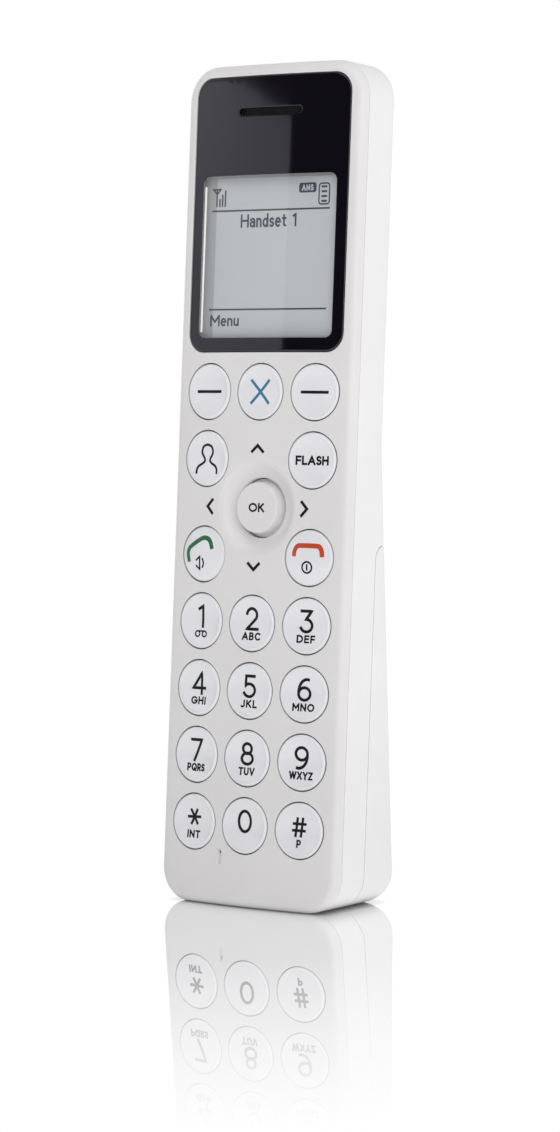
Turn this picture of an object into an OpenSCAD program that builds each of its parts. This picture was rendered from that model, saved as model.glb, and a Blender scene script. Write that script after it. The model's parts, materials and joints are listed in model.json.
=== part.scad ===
// Cordless telephone handset that stands upright on its own foot.
// The pieces are drawn in the handset's own axes: X to the right, Y from the front face towards the back,
// Z up the long axis, with the front of the foot at the origin. stand() then leans them back as they stand.

/* [Body] */
// Width across the sides
body_w = 43.4; // [42:0.1:48]
// Length along the long axis
body_h = 166.5; // [165:0.5:175]
// Corner radius of the outline seen from the front
corner_r = 7; // [5:0.5:9]
// Radius of the gentle curve across the front face
front_curve_r = 170; // [150:10:300]
// Round between the front face and the sides
front_edge_r = 2; // [1.9:0.05:2.1]
// Radius of the curve across the back
back_curve_r = 80; // [70:5:120]
// Round between the back and the sides
back_edge_r = 4; // [3:0.5:5]
// Thickness from front to back at the top
top_depth = 16.25; // [16:0.25:20]
// Thickness from front to back at the foot
foot_depth = 26.2; // [26:0.2:30]
// Slope of the back over the battery, in degrees
back_slope = 6; // [5:0.5:7]
// How far the handset leans back when it stands, in degrees
lean = 4.53; // [3:0.01:6]
// Thickness of the front wall
front_wall = 2; // [1.8:0.1:2.2]
// Thickness of the side, end and back walls
wall = 1.7; // [1.5:0.1:2]

/* [Seams] */
// Depth of the seam between the front and rear housings
front_seam_y = 3.43; // [3.4:0.01:3.6]
// Depth of the seam along the battery cover's sides
cover_seam_y = 10.75; // [10:0.25:11.5]
// Height of the battery cover's top edge
cover_top_z = 72.5; // [71:0.5:75]
// Gap round the battery cover
cover_gap = 0.2; // [0.1:0.05:0.3]
// Thickness of the battery cover
cover_wall = 1.5; // [1.2:0.1:1.6]

/* [Keys] */
// Distance between key columns
column_pitch = 13; // [12.8:0.1:13.2]
// Distance between key rows
row_pitch = 13.3; // [13:0.1:13.4]
// Height of the lowest key row
first_row_z = 16.22; // [16:0.1:17]
// Distance between the talk row and the contacts row, round the navigation dish
nav_gap = 19; // [18.5:0.1:20]
// Radius of a key cap
key_r = 5.48; // [5.3:0.02:5.5]
// Radius of a key hole
key_hole_r = 5.7; // [5.65:0.05:5.8]
// How far a key goes in
key_travel = 0.7; // [0.4:0.1:0.7]
// Radius of the hollow in a key's face
key_dish_r = 34; // [28:1:60]
// Radius of the dome on the talk and end keys
key_dome_r = 33; // [30:1:60]

/* [Navigation] */
// Radius of the dish round the OK key
dish_r = 9.17; // [9:0.1:9.5]
// Depth of the dish at the well
dish_depth = 1.95; // [1.5:0.05:2]
// Radius of the well
well_r = 5.93; // [5.9:0.01:6.1]
// Radius of the OK key's skirt
ok_r = 5.39; // [5.2:0.01:5.4]

/* [Display] */
// Width of the black window
window_w = 37.86; // [36:0.1:38]
// Height of the black window
window_h = 54.4; // [53:0.1:55]
// Height of the window's lower edge
window_z = 109.6; // [109:0.1:110]
// Corner radius of the window
window_r = 3.8; // [3:0.1:5]
// Thickness of the window
window_t = 0.8; // [0.6:0.1:0.9]
// Width of the display opening
lcd_w = 32.75; // [31:0.05:33]
// Height of the display opening
lcd_h = 32.1; // [31:0.05:33]
// Height of the display's middle
lcd_z = 128.42; // [128:0.1:129]

/* [Battery] */
// Diameter of an AAA cell
cell_d = 10.4; // [10:0.1:10.5]
// Length of an AAA cell with its button
cell_l = 44.5; // [44:0.1:44.5]

/* [Hidden] */
$fn = 48;

half_w = body_w / 2;
foot_front_r = 2.6;
foot_back_r = 5;
far = 80;
// Centres of the rounds at the front of the foot, the back of the foot and the back of the top end
toe = [foot_front_r, foot_front_r / cos(lean) + foot_front_r * tan(lean)];
heel_y = (foot_depth - foot_back_r / cos(back_slope) - tan(back_slope) * foot_back_r / cos(lean))
    / (1 + tan(back_slope) * tan(lean));
heel = [heel_y, tan(lean) * heel_y + foot_back_r / cos(lean)];
crown = [top_depth - back_edge_r, body_h - back_edge_r];
// How far back a point of the side view is, as the handset stands
function standing_y(p) = p[0] * cos(lean) + p[1] * sin(lean);
// The middle of the handset's depth as it stands, which is the origin
stand_y = (standing_y(toe) - foot_front_r + standing_y(crown) + back_edge_r) / 2;

// Key columns and rows: [name, column, row, face], where face is "dish" or "dome"
rows = [for (i = [0:6]) first_row_z + i * row_pitch + (i > 4 ? nav_gap - row_pitch : 0)];
keys = [
    ["key_star", -1, 0, "dish"], ["key_0", 0, 0, "dish"], ["key_hash", 1, 0, "dish"],
    ["key_7", -1, 1, "dish"], ["key_8", 0, 1, "dish"], ["key_9", 1, 1, "dish"],
    ["key_4", -1, 2, "dish"], ["key_5", 0, 2, "dish"], ["key_6", 1, 2, "dish"],
    ["key_1", -1, 3, "dish"], ["key_2", 0, 3, "dish"], ["key_3", 1, 3, "dish"],
    ["key_talk", -1, 4, "dome"], ["key_end", 1, 4, "dome"],
    ["key_contacts", -1, 5, "dish"], ["key_flash", 1, 5, "dish"],
    ["key_soft_left", -1, 6, "dish"], ["key_block", 0, 6, "dish"], ["key_soft_right", 1, 6, "dish"]
];
nav_z = (rows[4] + rows[5]) / 2;

// Layers behind the keys, as depths from the front of the face
board_y = 5.4;
board_t = 1;
dome_h = 0.3;
mat_t = 0.6;
collar_h = 0.3;
key_clear = 0.3;
flange_r = 6;
flange_t = 0.45;
plunger_r = 3.2;
plunger_tip_y = board_y - dome_h - key_travel - 0.05;
boss_x = column_pitch / 2;
boss_z = (rows[3] + rows[4]) / 2;
boss_r = 2.3;
screw_r = 1;
// Height of a small light's middle, between key rows
led_z = [for (i = [0, 1, 2, 5]) rows[i] + row_pitch / 2];

// Sound: the receiver and its slot, the microphone and its slot, the loudspeaker and its grille
receiver_z = 157;
receiver_r = 6.2;
receiver_slot_w = 15.4;
receiver_slot_h = 1.4;
mic_x = -6;
mic_z = 9.7;
mic_r = 2;
mic_slot_l = 3.1;
mic_slot_w = 0.95;
speaker_z = 132;
speaker_r = 10;
grille_pitch = 2.6;
grille_slot_h = 1.1;

// Display: half sizes of its glass and of the body behind it
glass_half_w = lcd_w / 2 + 0.525;
glass_half_h = lcd_h / 2 + 0.55;
lcd_body_half_w = glass_half_w + 0.2;
lcd_body_half_h = glass_half_h + 0.3;

// Power: the bay in the sloping back, the cells in it and the charging contacts
bay_half_w = 12.6;
bay_wall = 1;
cell_low = 8;
cell_x = cell_d / 2 + 0.25;
cell_y = -(cover_wall + 0.4 + cell_d / 2);
bay_floor_y = cell_y - cell_d / 2 - 0.15;
bay_top = cell_low + cell_l + 3.2;
contact_x = 7;
contact_half_w = 2.2;
grip_grooves = 5;

// Pins that the navigation key tilts on
nav_pivot_y = 3.85;
pin_r = 0.3;
pin_hole_r = pin_r + 0.05;

// Depth of the curved front face at a distance x from the middle
function face_y(x) = front_curve_r - sqrt(pow(front_curve_r, 2) - x * x);
// Points of an arc about c, from angle a to angle b
function arc(c, r, a, b, n) = [for (i = [0:n]) c + r * [cos(a + (b - a) * i / n), sin(a + (b - a) * i / n)]];
// A rectangle with round corners, centred on X, from height 0 to h
function round_rect(w, h, r) = concat(
    arc([w / 2 - r, r], r, -90, 0, 6), arc([w / 2 - r, h - r], r, 0, 90, 6),
    arc([r - w / 2, h - r], r, 90, 180, 6), arc([r - w / 2, r], r, 180, 270, 6));
// A slot with round ends, centred, of length l along X
function slot(l, w) = concat(
    arc([(l - w) / 2, 0], w / 2, -90, 90, 8), arc([(w - l) / 2, 0], w / 2, 90, 270, 8));

// ---- Placing ----

// The handset as it stands: leaning back on the flat of its foot
module stand() {
    translate([0, -stand_y, 0]) rotate([-lean, 0, 0]) children();
}

// A flat outline in X and Z, pushed through from depth y0 to depth y1
module through(y0, y1) {
    translate([0, y1, 0]) rotate([90, 0, 0]) linear_extrude(y1 - y0) children();
}

// A cylinder along Y
module barrel(x, z, r, y0, y1) {
    translate([x, y0, z]) rotate([-90, 0, 0]) cylinder(r = r, h = y1 - y0);
}

// A block given by its corners
module block(lo, hi) {
    translate(lo) cube(hi - lo);
}

// Axes along the sloping back: Z up the slope, Y = 0 on the back's crest, the inside at negative Y
module on_slope() {
    translate([0, foot_depth, 0]) rotate([back_slope, 0, 0]) children();
}

// ---- Outer shape, drawn in by o all round and by f at the front ----

module outline_prism(o) {
    intersection() {
        through(-far, far) translate([0, -far]) polygon(round_rect(body_w - 2 * o, body_h + far - o, corner_r - o));
        rotate([lean, 0, 0]) through(-far, far)
            translate([0, o]) polygon(round_rect(body_w - 2 * o, body_h + far, corner_r - o));
    }
}

module front_prism(o, f) {
    edge = half_w - front_edge_r;
    sweep = asin(edge / front_curve_r);
    face = arc([0, front_curve_r], front_curve_r - f, -90 - sweep, -90 + sweep, 12);
    round_y = face_y(edge) + front_edge_r;
    round_r = front_edge_r - min(o, f);
    right = arc([edge, round_y - front_edge_r + f + round_r], round_r, -75, 0, 3);
    points = concat(face, right, [[half_w - o, far], [o - half_w, far]],
        [for (i = [len(right) - 1:-1:0]) [-right[i][0], right[i][1]]]);
    translate([0, 0, -far]) linear_extrude(body_h + 2 * far)
        intersection() {
            polygon(points);
            translate([o - half_w, -far]) square([body_w - 2 * o, 2 * far]);
        }
}

// The section of the back, with its crest at Y = 0
module back_section(o) {
    edge = half_w - back_edge_r;
    sweep = asin(edge / back_curve_r);
    crest = arc([0, -back_curve_r], back_curve_r - o, 90 - sweep, 90 + sweep, 10);
    round_y = back_curve_r * cos(sweep) - back_curve_r - back_edge_r;
    left = arc([-edge, round_y], back_edge_r - o, 105, 180, 4);
    right = [for (i = [len(left) - 1:-1:0]) [-left[i][0], left[i][1]]];
    polygon(concat(crest, left, [[o - half_w, -far], [half_w - o, -far]], right));
}

module back_prism(o) {
    union() {
        translate([0, top_depth, -far]) linear_extrude(body_h + 2 * far) back_section(o);
        on_slope() translate([0, 0, -far]) linear_extrude(body_h + far) back_section(o);
    }
}

// The side view, with round ends
module profile_prism(o) {
    knee_z = (foot_depth - top_depth - o / cos(back_slope) + o) / tan(back_slope);
    points = concat(
        arc(toe, foot_front_r - o, 180, 270 + lean, 5),
        arc(heel, foot_back_r - o, lean - 90, back_slope, 6),
        [[top_depth - o, knee_z]],
        arc(crown, back_edge_r - o, 0, 90, 5),
        arc([front_edge_r, body_h - front_edge_r], front_edge_r - o, 90, 180, 4));
    translate([-far, 0, 0]) rotate([90, 0, 90]) linear_extrude(2 * far) polygon(points);
}

module envelope(o = 0, f = 0) {
    intersection() {
        outline_prism(o);
        front_prism(o, f);
        back_prism(o);
        profile_prism(o);
    }
}

// The space taken by the battery cover, grown by g
module cover_zone(g) {
    r = 3;
    low = cover_seam_y - g;
    top = cover_top_z + g;
    corner = arc([low + r, top - r], r, 90, 180, 5);
    points = concat([[low, -far], [far, -far], [far, top]], corner);
    translate([-far, 0, 0]) rotate([90, 0, 90]) linear_extrude(2 * far) polygon(points);
}

// ---- Housings and cover ----

module window_recess(grow, y0, depth) {
    intersection() {
        through(-far, far) translate([0, window_z - grow])
            polygon(round_rect(window_w + 2 * grow, window_h + 2 * grow, window_r + grow));
        translate([0, front_curve_r, 0]) difference() {
            cylinder(r = front_curve_r - y0, h = body_h, $fn = 720);
            translate([0, 0, -1]) cylinder(r = front_curve_r - y0 - depth, h = body_h + 2, $fn = 720);
        }
        block([-half_w, -1, 0], [half_w, 10, body_h]);
    }
}

// An outline round the display's body, grown by g
module lcd_opening(g) {
    translate([0, lcd_z - lcd_body_half_h - g])
        polygon(round_rect(2 * (lcd_body_half_w + g), 2 * (lcd_body_half_h + g), 1));
}

module receiver_slot(y0, y1, grow = 0) {
    through(y0, y1) translate([0, receiver_z]) 
        polygon(slot(receiver_slot_w + 2 * grow, receiver_slot_h + 2 * grow));
}

module nav_dish() {
    rise = dish_r - well_r;
    bowl_r = (rise * rise + dish_depth * dish_depth) / (2 * dish_depth);
    translate([0, 0, nav_z]) rotate([-90, 0, 0]) rotate_extrude() polygon(concat(
        [[0, -1], [dish_r, -1]],
        [for (i = [0:6]) [dish_r - rise * i / 6, dish_depth * sin(90 * i / 6)]],
        [[well_r, 6], [0, 6]]));
}

module front_housing() color([0.86, 0.85, 0.85]) difference() {
    union() {
        difference() {
            intersection() {
                envelope();
                block([-far, -1, -far], [far, front_seam_y, 2 * far + body_h]);
            }
            envelope(wall, front_wall);
        }
        // Collar under the navigation dish, and the screw bosses
        barrel(0, nav_z, 9.7, front_wall - 0.5, 2.95);
        for (s = [-1, 1]) barrel(s * boss_x, boss_z, boss_r, front_wall - 0.5, board_y + board_t);
        // Rib round the inside of the seam that lines up the rear housing
        for (s = [-1, 1]) translate([s * (half_w - wall - 0.45), 0, 0])
            block([-0.25, 2.6, 20], [0.25, 4.6, body_h - 20]);
    }
    for (k = keys) barrel(k[1] * column_pitch, rows[k[2]], key_hole_r, -1, 4.6);
    nav_dish();
    for (s = [-1, 1]) barrel(s * boss_x, boss_z, screw_r + 0.05, 2.6, board_y + board_t + 1);
    window_recess(0.12, -1, 1 + window_t + 0.3);
    // Openings for the display, the receiver and the microphone
    through(-1, 4.5) lcd_opening(0.5);
    receiver_slot(-1, 4.5, 0.3);
    translate([mic_x, 0, mic_z]) rotate([0, 90, 0]) through(-1, 4.5) polygon(slot(mic_slot_l, mic_slot_w));
}

module rear_shell() {
    difference() {
        intersection() {
            envelope();
            block([-far, front_seam_y, -far], [far, far, 2 * far + body_h]);
        }
        envelope(wall, front_wall);
        cover_zone(0);
    }
}

// Bay for the two cells: a floor, two ends and two sides, in the sloping axes
module battery_bay() {
    on_slope() difference() {
        block([-bay_half_w, bay_floor_y - bay_wall, cell_low - 3.7], [bay_half_w, cell_y + 2.6, bay_top]);
        block([bay_wall - bay_half_w, bay_floor_y, cell_low - 2.7], [bay_half_w - bay_wall, 5, bay_top - bay_wall]);
    }
}

module rear_housing() color([0.9, 0.9, 0.9]) difference() {
    union() {
        rear_shell();
        // Deck under the battery cover, which closes the works off from the bay
        difference() {
            intersection() {
                envelope(wall - 0.3, front_wall);
                block([-far, cover_seam_y - 1.5, -far], [far, cover_seam_y - 0.3, cover_top_z + 1.5]);
            }
            on_slope() block([0.5 - bay_half_w, bay_floor_y - bay_wall + 0.2, cell_low - 3.2],
                [bay_half_w - 0.5, 5, bay_top - 0.5]);
        }
        // Wall under the cover's top edge
        intersection() {
            envelope(cover_wall + 0.3, front_wall);
            block([-far, cover_seam_y - 1.5, cover_top_z - 1], [far, far, cover_top_z + 1.5]);
        }
        battery_bay();
        for (s = [-1, 1]) barrel(s * boss_x, boss_z, 3, board_y + board_t + 0.1, cover_seam_y - 0.3);
    }
    for (s = [-1, 1]) {
        barrel(s * boss_x, boss_z, screw_r + 0.15, 4, far);
        barrel(s * boss_x, boss_z, 2.15, cover_seam_y - 2, far);
    }
    // Loudspeaker grille
    for (i = [-3:3]) translate([0, 0, speaker_z + i * grille_pitch])
        through(10, far) polygon(slot(2 * sqrt(pow(speaker_r, 2) - pow(i * grille_pitch, 2)) - 1, grille_slot_h));
    // Slots for the charging contacts, square to the foot
    for (s = [-1, 1]) rotate([lean, 0, 0]) 
        block([s * contact_x - contact_half_w - 0.1, 5.6, -1], [s * contact_x + contact_half_w + 0.1, 8, 2.6]);
}

module battery_cover() color([0.9, 0.9, 0.9]) union() {
    difference() {
        intersection() {
            envelope();
            cover_zone(-cover_gap);
        }
        envelope(cover_wall, front_wall);
        // Grip grooves
        on_slope() for (i = [0:grip_grooves - 1]) {
            groove_half_w = 6.5 - 0.6 * i;
            groove_z = 60 + i * 1.7;
            block([-groove_half_w, -0.45, groove_z], [groove_half_w, 1, groove_z + 0.7]);
        }
    }
    // Ribs that stiffen the cover over the cells
    on_slope() for (z = [18, 38]) block([-0.5, -cover_wall - 1, z], [0.5, -cover_wall + 0.1, z + 8]);
}

// ---- Display and its window ----

module display_window() color([0.05, 0.05, 0.07]) difference() {
    window_recess(0, 0.1, window_t);
    receiver_slot(-2, 5);
}

module window_tape() color([0.1, 0.1, 0.1]) difference() {
    window_recess(-0.3, window_t + 0.12, 0.15);
    through(-2, 8) lcd_opening(0.7);
    receiver_slot(-2, 6, 1);
}

module lcd_glass() color([0.7, 0.72, 0.72]) union() {
    block([-glass_half_w, 2.05, lcd_z - glass_half_h], [glass_half_w, 3.3, lcd_z + glass_half_h]);
    block([-lcd_body_half_w, 3.3, lcd_z - lcd_body_half_h], [lcd_body_half_w, 4, lcd_z + lcd_body_half_h]);
}

module lcd_backlight() color([0.95, 0.96, 0.96])
    block([-lcd_body_half_w, 4.05, lcd_z - lcd_body_half_h],
        [lcd_body_half_w, board_y - 0.05, lcd_z + lcd_body_half_h]);

module lcd_flex() color([0.8, 0.5, 0.2]) union() {
    block([-10, board_y - 0.25, lcd_z - 19.2], [10, board_y - 0.05, lcd_z - 17]);
    block([-10, 3.4, lcd_z - 17.4], [10, board_y - 0.25, lcd_z - 17.2]);
    block([-10, 3.4, lcd_z - 17.2], [10, 3.6, lcd_z - 16.95]);
}

// ---- Sound ----

module receiver() color([0.55, 0.56, 0.58]) union() {
    barrel(0, receiver_z, receiver_r, 3.7, 6.2);
    barrel(0, receiver_z, receiver_r - 1.4, 6.2, 7.4);
}

module receiver_gasket() color([0.12, 0.12, 0.12]) intersection() {
    difference() {
        barrel(0, receiver_z, receiver_r, 2.2, 3.7);
        barrel(0, receiver_z, receiver_r - 1.2, 1, 4);
    }
    envelope(wall + 0.1, front_wall + 0.1);
}

module receiver_mesh() color([0.08, 0.08, 0.08]) difference() {
    through(1.42, 1.52) translate([0, receiver_z]) polygon(slot(15.7, 1.7));
    block([-20, 0, 0], [-7.9, 4, body_h]);
    block([7.9, 0, 0], [20, 4, body_h]);
}

module loudspeaker() color([0.3, 0.3, 0.32]) union() {
    barrel(0, speaker_z, speaker_r - 0.2, 10.6, 13);
    barrel(0, speaker_z, speaker_r - 3.5, 8.8, 10.6);
}

module loudspeaker_gasket() color([0.12, 0.12, 0.12]) intersection() {
    difference() {
        barrel(0, speaker_z, speaker_r - 0.2, 13, 15);
        barrel(0, speaker_z, speaker_r - 1.6, 12, 16);
    }
    envelope(wall + 0.05, front_wall);
}

module microphone() color([0.75, 0.75, 0.77]) barrel(mic_x, mic_z, mic_r, 3.6, board_y - 0.05);

module microphone_boot() color([0.15, 0.15, 0.15]) difference() {
    barrel(mic_x, mic_z, mic_r + 0.55, 2.35, board_y - 0.05);
    barrel(mic_x, mic_z, mic_r + 0.02, 3.58, board_y + 1);
    barrel(mic_x, mic_z, 0.7, 1, 4);
}

// ---- Board and what is on it ----

module keymat() color([0.8, 0.8, 0.82]) difference() {
    union() {
        through(board_y - mat_t, board_y - 0.02) translate([0, rows[0] - 6])
            polygon(round_rect(38.2, rows[6] - rows[0] + 11.6, 3));
        for (k = keys) barrel(k[1] * column_pitch, rows[k[2]], 4.6, board_y - mat_t - collar_h, board_y - 0.3);
    }
    for (k = keys) barrel(k[1] * column_pitch, rows[k[2]], 3.9, 0, far);
    barrel(0, nav_z, 6.4, 0, far);
    barrel(mic_x, mic_z, mic_r + 0.9, 0, far);
    for (s = [-1, 1]) barrel(s * boss_x, boss_z, boss_r + 0.3, 0, far);
    for (s = [-1, 1], z = led_z) block([s * boss_x - 1, 0, z - 0.6], [s * boss_x + 1, far, z + 0.6]);
}

module key_domes() color([0.8, 0.8, 0.78])
    for (k = keys) translate([k[1] * column_pitch, board_y - 0.02, rows[k[2]]]) rotate([90, 0, 0])
        cylinder(r1 = 2.6, r2 = 1.2, h = dome_h);

module main_board() color([0.1, 0.35, 0.2]) difference() {
    through(board_y, board_y + board_t) translate([0, 4]) polygon(round_rect(38.4, 144.5, 3));
    for (s = [-1, 1]) barrel(s * boss_x, boss_z, boss_r + 0.2, 0, far);
}

module rf_shield() color([0.75, 0.76, 0.77]) difference() {
    block([-13, board_y + board_t + 0.02, 76], [13, board_y + board_t + 2, 104]);
    block([-12.7, 0, 76.3], [12.7, board_y + board_t + 1.7, 103.7]);
}

module board_chips() color([0.1, 0.1, 0.11]) union() {
    y = board_y + board_t + 0.02;
    block([-5, y, 82], [5, y + 1.2, 92]);
    block([-10, y, 95], [-4, y + 1, 100]);
    block([-14, y, 108], [-6, y + 1.3, 116]);
    block([2, y, 107], [9, y + 1.1, 113]);
    block([12, y, 84], [12.6, y + 1.2, 96]);
}

module board_leds() color([0.95, 0.95, 0.9]) for (s = [-1, 1], z = led_z)
    block([s * boss_x - 0.8, board_y - 0.5, z - 0.4], [s * boss_x + 0.8, board_y - 0.02, z + 0.4]);

module antenna() color([0.8, 0.7, 0.4]) union() {
    y = board_y + board_t + 0.02;
    block([-17, y, 139], [-16.6, y + 3, 147]);
    block([-17, y + 2.6, 146], [10, y + 3, 147.6]);
    block([-5, y, 146], [-4.6, y + 3, 147]);
}

// ---- Power ----

module cell(x) on_slope() union() {
    translate([x, cell_y, cell_low]) cylinder(d = cell_d, h = cell_l - 1);
    translate([x, cell_y, cell_low + cell_l - 1.5]) cylinder(r = 1.9, h = 1.5);
}

module battery_cell_left() color([0.2, 0.45, 0.35]) cell(-cell_x);

module battery_cell_right() color([0.2, 0.45, 0.35]) cell(cell_x);

// A conical coil against each cell's flat end, drawn as a stack of rings that narrow
module battery_springs() color([0.8, 0.8, 0.8]) on_slope() for (s = [-1, 1]) {
    x = s * cell_x;
    for (i = [0:3]) translate([x, cell_y, cell_low - 2.68 + i * 0.66]) difference() {
        cylinder(r = 4 - i * 0.5, h = 0.67);
        translate([0, 0, -1]) cylinder(r = 3.4 - i * 0.5, h = 3);
    }
}

module battery_plates() color([0.8, 0.8, 0.8]) on_slope() for (s = [-1, 1]) {
    x = s * cell_x;
    block([x - 3.5, cell_y - 3.5, bay_top - bay_wall - 0.45],
        [x + 3.5, cell_y + 2.5, bay_top - bay_wall - 0.05]);
    block([x - 1.5, cell_y - 1.5, cell_low + cell_l + 0.05], [x + 1.5, cell_y + 1.5, bay_top - bay_wall - 0.45]);
}

module charging_contacts() color([0.85, 0.75, 0.45]) for (s = [-1, 1]) rotate([lean, 0, 0]) union() {
    block([s * contact_x - contact_half_w, 5.7, 0.3], [s * contact_x + contact_half_w, 7.9, 2.7]);
    // Prong that reaches up to the board
    block([s * contact_x - 1.2, 7, 2.7], [s * contact_x + 1.2, 7.4, 6.5]);
}

module housing_screws() color([0.6, 0.6, 0.62]) for (s = [-1, 1]) difference() {
    union() {
        barrel(s * boss_x, boss_z, screw_r, 2.8, 8.9);
        barrel(s * boss_x, boss_z, 1.9, cover_seam_y - 1.95, cover_seam_y - 0.8);
    }
    for (a = [0, 90]) translate([s * boss_x, 0, boss_z]) rotate([0, a, 0])
        block([-1.1, cover_seam_y - 1.5, -0.2], [1.1, cover_seam_y, 0.2]);
}

// ---- Keys ----

// A cap whose face follows the curved front, on a flange and a plunger
module key(spec) {
    x = spec[1] * column_pitch;
    y = face_y(x);
    tilt = asin(x / front_curve_r);
    proud = 0.12;
    translate([x, 0, rows[spec[2]]]) union() {
        translate([0, y, 0]) difference() {
            barrel(0, 0, key_r, -1.5, front_wall + 0.9);
            rotate([0, 0, tilt]) {
                if (spec[3] == "dish") {
                    block([-9, -9, -9], [9, -proud, 9]);
                    translate([0, -proud + 0.36 - key_dish_r, 0]) sphere(r = key_dish_r, $fn = 96);
                } else difference() {
                    block([-9, -9, -9], [9, 0.3, 9]);
                    translate([0, key_dome_r - 0.45, 0]) sphere(r = key_dome_r, $fn = 96);
                }
                block([-9, front_wall + key_clear + 0.1, -9], [9, 9, 9]);
            }
        }
        translate([0, y, 0]) rotate([0, 0, tilt])
            barrel(0, 0, flange_r, front_wall + key_clear, front_wall + key_clear + flange_t);
        barrel(0, 0, plunger_r, y + front_wall, plunger_tip_y);
    }
}

module key_called(name) color([0.88, 0.88, 0.9]) for (k = keys) if (k[0] == name) key(k);

// ---- Navigation: the OK key slides on a stem that tilts in a ring, which tilts in the switch's base ----

module nav_switch_base() color([0.25, 0.25, 0.27]) translate([0, 0, nav_z]) difference() {
    union() {
        block([-3.9, 4.75, -3.6], [3.9, board_y - 0.02, 3.6]);
        for (s = [-1, 1]) block([s * 3.55 - 0.35, 3.3, -0.8], [s * 3.55 + 0.35, 4.8, 0.8]);
    }
    translate([-5, nav_pivot_y, 0]) rotate([0, 90, 0]) cylinder(r = pin_hole_r, h = 10);
}

module nav_switch_ring() color([0.7, 0.7, 0.72]) translate([0, 0, nav_z]) union() {
    difference() {
        barrel(0, 0, 2.9, 3.45, 4.25);
        barrel(0, 0, 2.1, 3, 5);
        translate([0, nav_pivot_y, -4]) cylinder(r = pin_hole_r, h = 8);
    }
    for (s = [-1, 1]) translate([s * 3.3, nav_pivot_y, 0]) rotate([0, 90, 0])
        cylinder(r = pin_r, h = 1.2, center = true);
}

module nav_switch_stem() color([0.2, 0.2, 0.22]) translate([0, 0, nav_z]) union() {
    barrel(0, 0, 1.2, 2.1, 4.2);
    translate([0, nav_pivot_y, -2.7]) cylinder(r = pin_r, h = 5.4);
}

module ok_key() color([0.88, 0.88, 0.88]) translate([0, 0, nav_z]) difference() {
    rotate([-90, 0, 0]) rotate_extrude()
        polygon([[0, 0.27], [4.75, 0.27], [5.08, 0.5], [ok_r, 1.3], [ok_r, 3.2], [0, 3.2]]);
    difference() {
        barrel(0, 0, 4.5, 1.5, 4);
        barrel(0, 0, 1.9, 1, 3.05);
    }
    barrel(0, 0, 1.25, 1.65, 4);
}

// ---- Drawing ----

stand() front_housing();
stand() rear_housing();
stand() battery_cover();
stand() display_window();
stand() window_tape();
stand() lcd_glass();
stand() lcd_backlight();
stand() lcd_flex();
stand() receiver();
stand() receiver_gasket();
stand() receiver_mesh();
stand() loudspeaker();
stand() loudspeaker_gasket();
stand() microphone();
stand() microphone_boot();
stand() keymat();
stand() key_domes();
stand() main_board();
stand() rf_shield();
stand() board_chips();
stand() board_leds();
stand() antenna();
stand() battery_cell_left();
stand() battery_cell_right();
stand() battery_springs();
stand() battery_plates();
stand() charging_contacts();
stand() housing_screws();
stand() nav_switch_base();
stand() nav_switch_ring();
stand() nav_switch_stem();
stand() ok_key();
for (k = keys) stand() key_called(k[0]);
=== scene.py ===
"""Looks of a cordless telephone handset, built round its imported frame.

Shapes are drawn in the handset's own axes, in millimetres: X to the right, Y from the front face towards
the back, Z up the long axis, with the front of the foot at the origin. standing() takes them to the frame,
in metres.
"""

import json
from math import asin, atan, atan2, ceil, cos, dist, hypot, pi, radians, sin, sqrt, tan

import bmesh
import bpy
import numpy as np
from mathutils import Matrix, Vector, geometry, kdtree


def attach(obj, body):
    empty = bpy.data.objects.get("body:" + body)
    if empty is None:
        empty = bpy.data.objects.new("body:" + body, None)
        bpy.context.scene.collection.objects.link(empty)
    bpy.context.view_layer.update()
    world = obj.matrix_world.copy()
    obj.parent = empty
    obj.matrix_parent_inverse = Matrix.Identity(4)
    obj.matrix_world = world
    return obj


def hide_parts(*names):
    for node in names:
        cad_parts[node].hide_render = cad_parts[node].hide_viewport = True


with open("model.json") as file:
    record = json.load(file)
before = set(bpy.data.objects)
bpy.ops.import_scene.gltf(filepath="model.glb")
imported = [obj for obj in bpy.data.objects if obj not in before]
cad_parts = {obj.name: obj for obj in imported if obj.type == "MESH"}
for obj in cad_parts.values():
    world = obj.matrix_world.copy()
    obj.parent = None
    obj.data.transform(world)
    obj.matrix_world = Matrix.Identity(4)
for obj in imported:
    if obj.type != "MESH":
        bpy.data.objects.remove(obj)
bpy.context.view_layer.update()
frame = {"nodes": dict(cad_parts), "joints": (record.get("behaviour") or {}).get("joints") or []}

# ---- driving dimensions, in millimetres

MM = 0.001
HALF_W = 21.7
BODY_H = 166.5
CORNER_R = 7.0
FACE_R = 170.0
EDGE_R = 2.0
FOOT_EDGE_R = 1.6
FRONT_WALL = 2.0
WALL = 1.7
FRONT_SEAM = 3.43
COVER_SEAM = 10.75
COVER_TOP = 72.5
TOP_DEPTH = 16.25
FOOT_DEPTH = 25.9
BACK_SLOPE = radians(6.0)
BACK_R = 80.0
BACK_EDGE_R = 4.0
FOOT_BACK_R = 5.0
SEAM_GAP = 0.07
SHEAR_H = 14.0

COLUMN = 13.0
ROW = 13.3
FIRST_ROW = 16.22
NAV_GAP = 19.0
KEY_R = 5.48
HOLE_R = 5.7
DISH_R = 9.17
DISH_DEPTH = 1.95
WELL_R = 5.93
NAV_PIVOT_Y = 3.85

WINDOW_W, WINDOW_H, WINDOW_Z, WINDOW_R = 37.86, 54.4, 109.6, 3.8
LCD_W, LCD_H, LCD_Z, LCD_R = 32.75, 32.1, 128.42, 1.5
SLOT_W, SLOT_H, SLOT_Z = 15.4, 1.4, 157.0
MIC_X, MIC_Z, MIC_L, MIC_W = -6.0, 9.7, 3.1, 0.95
MIC_GROOVE = 0.5

ROWS = [FIRST_ROW + i * ROW + (NAV_GAP - ROW if i > 4 else 0.0) for i in range(7)]
NAV_Z = (ROWS[4] + ROWS[5]) / 2

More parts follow.
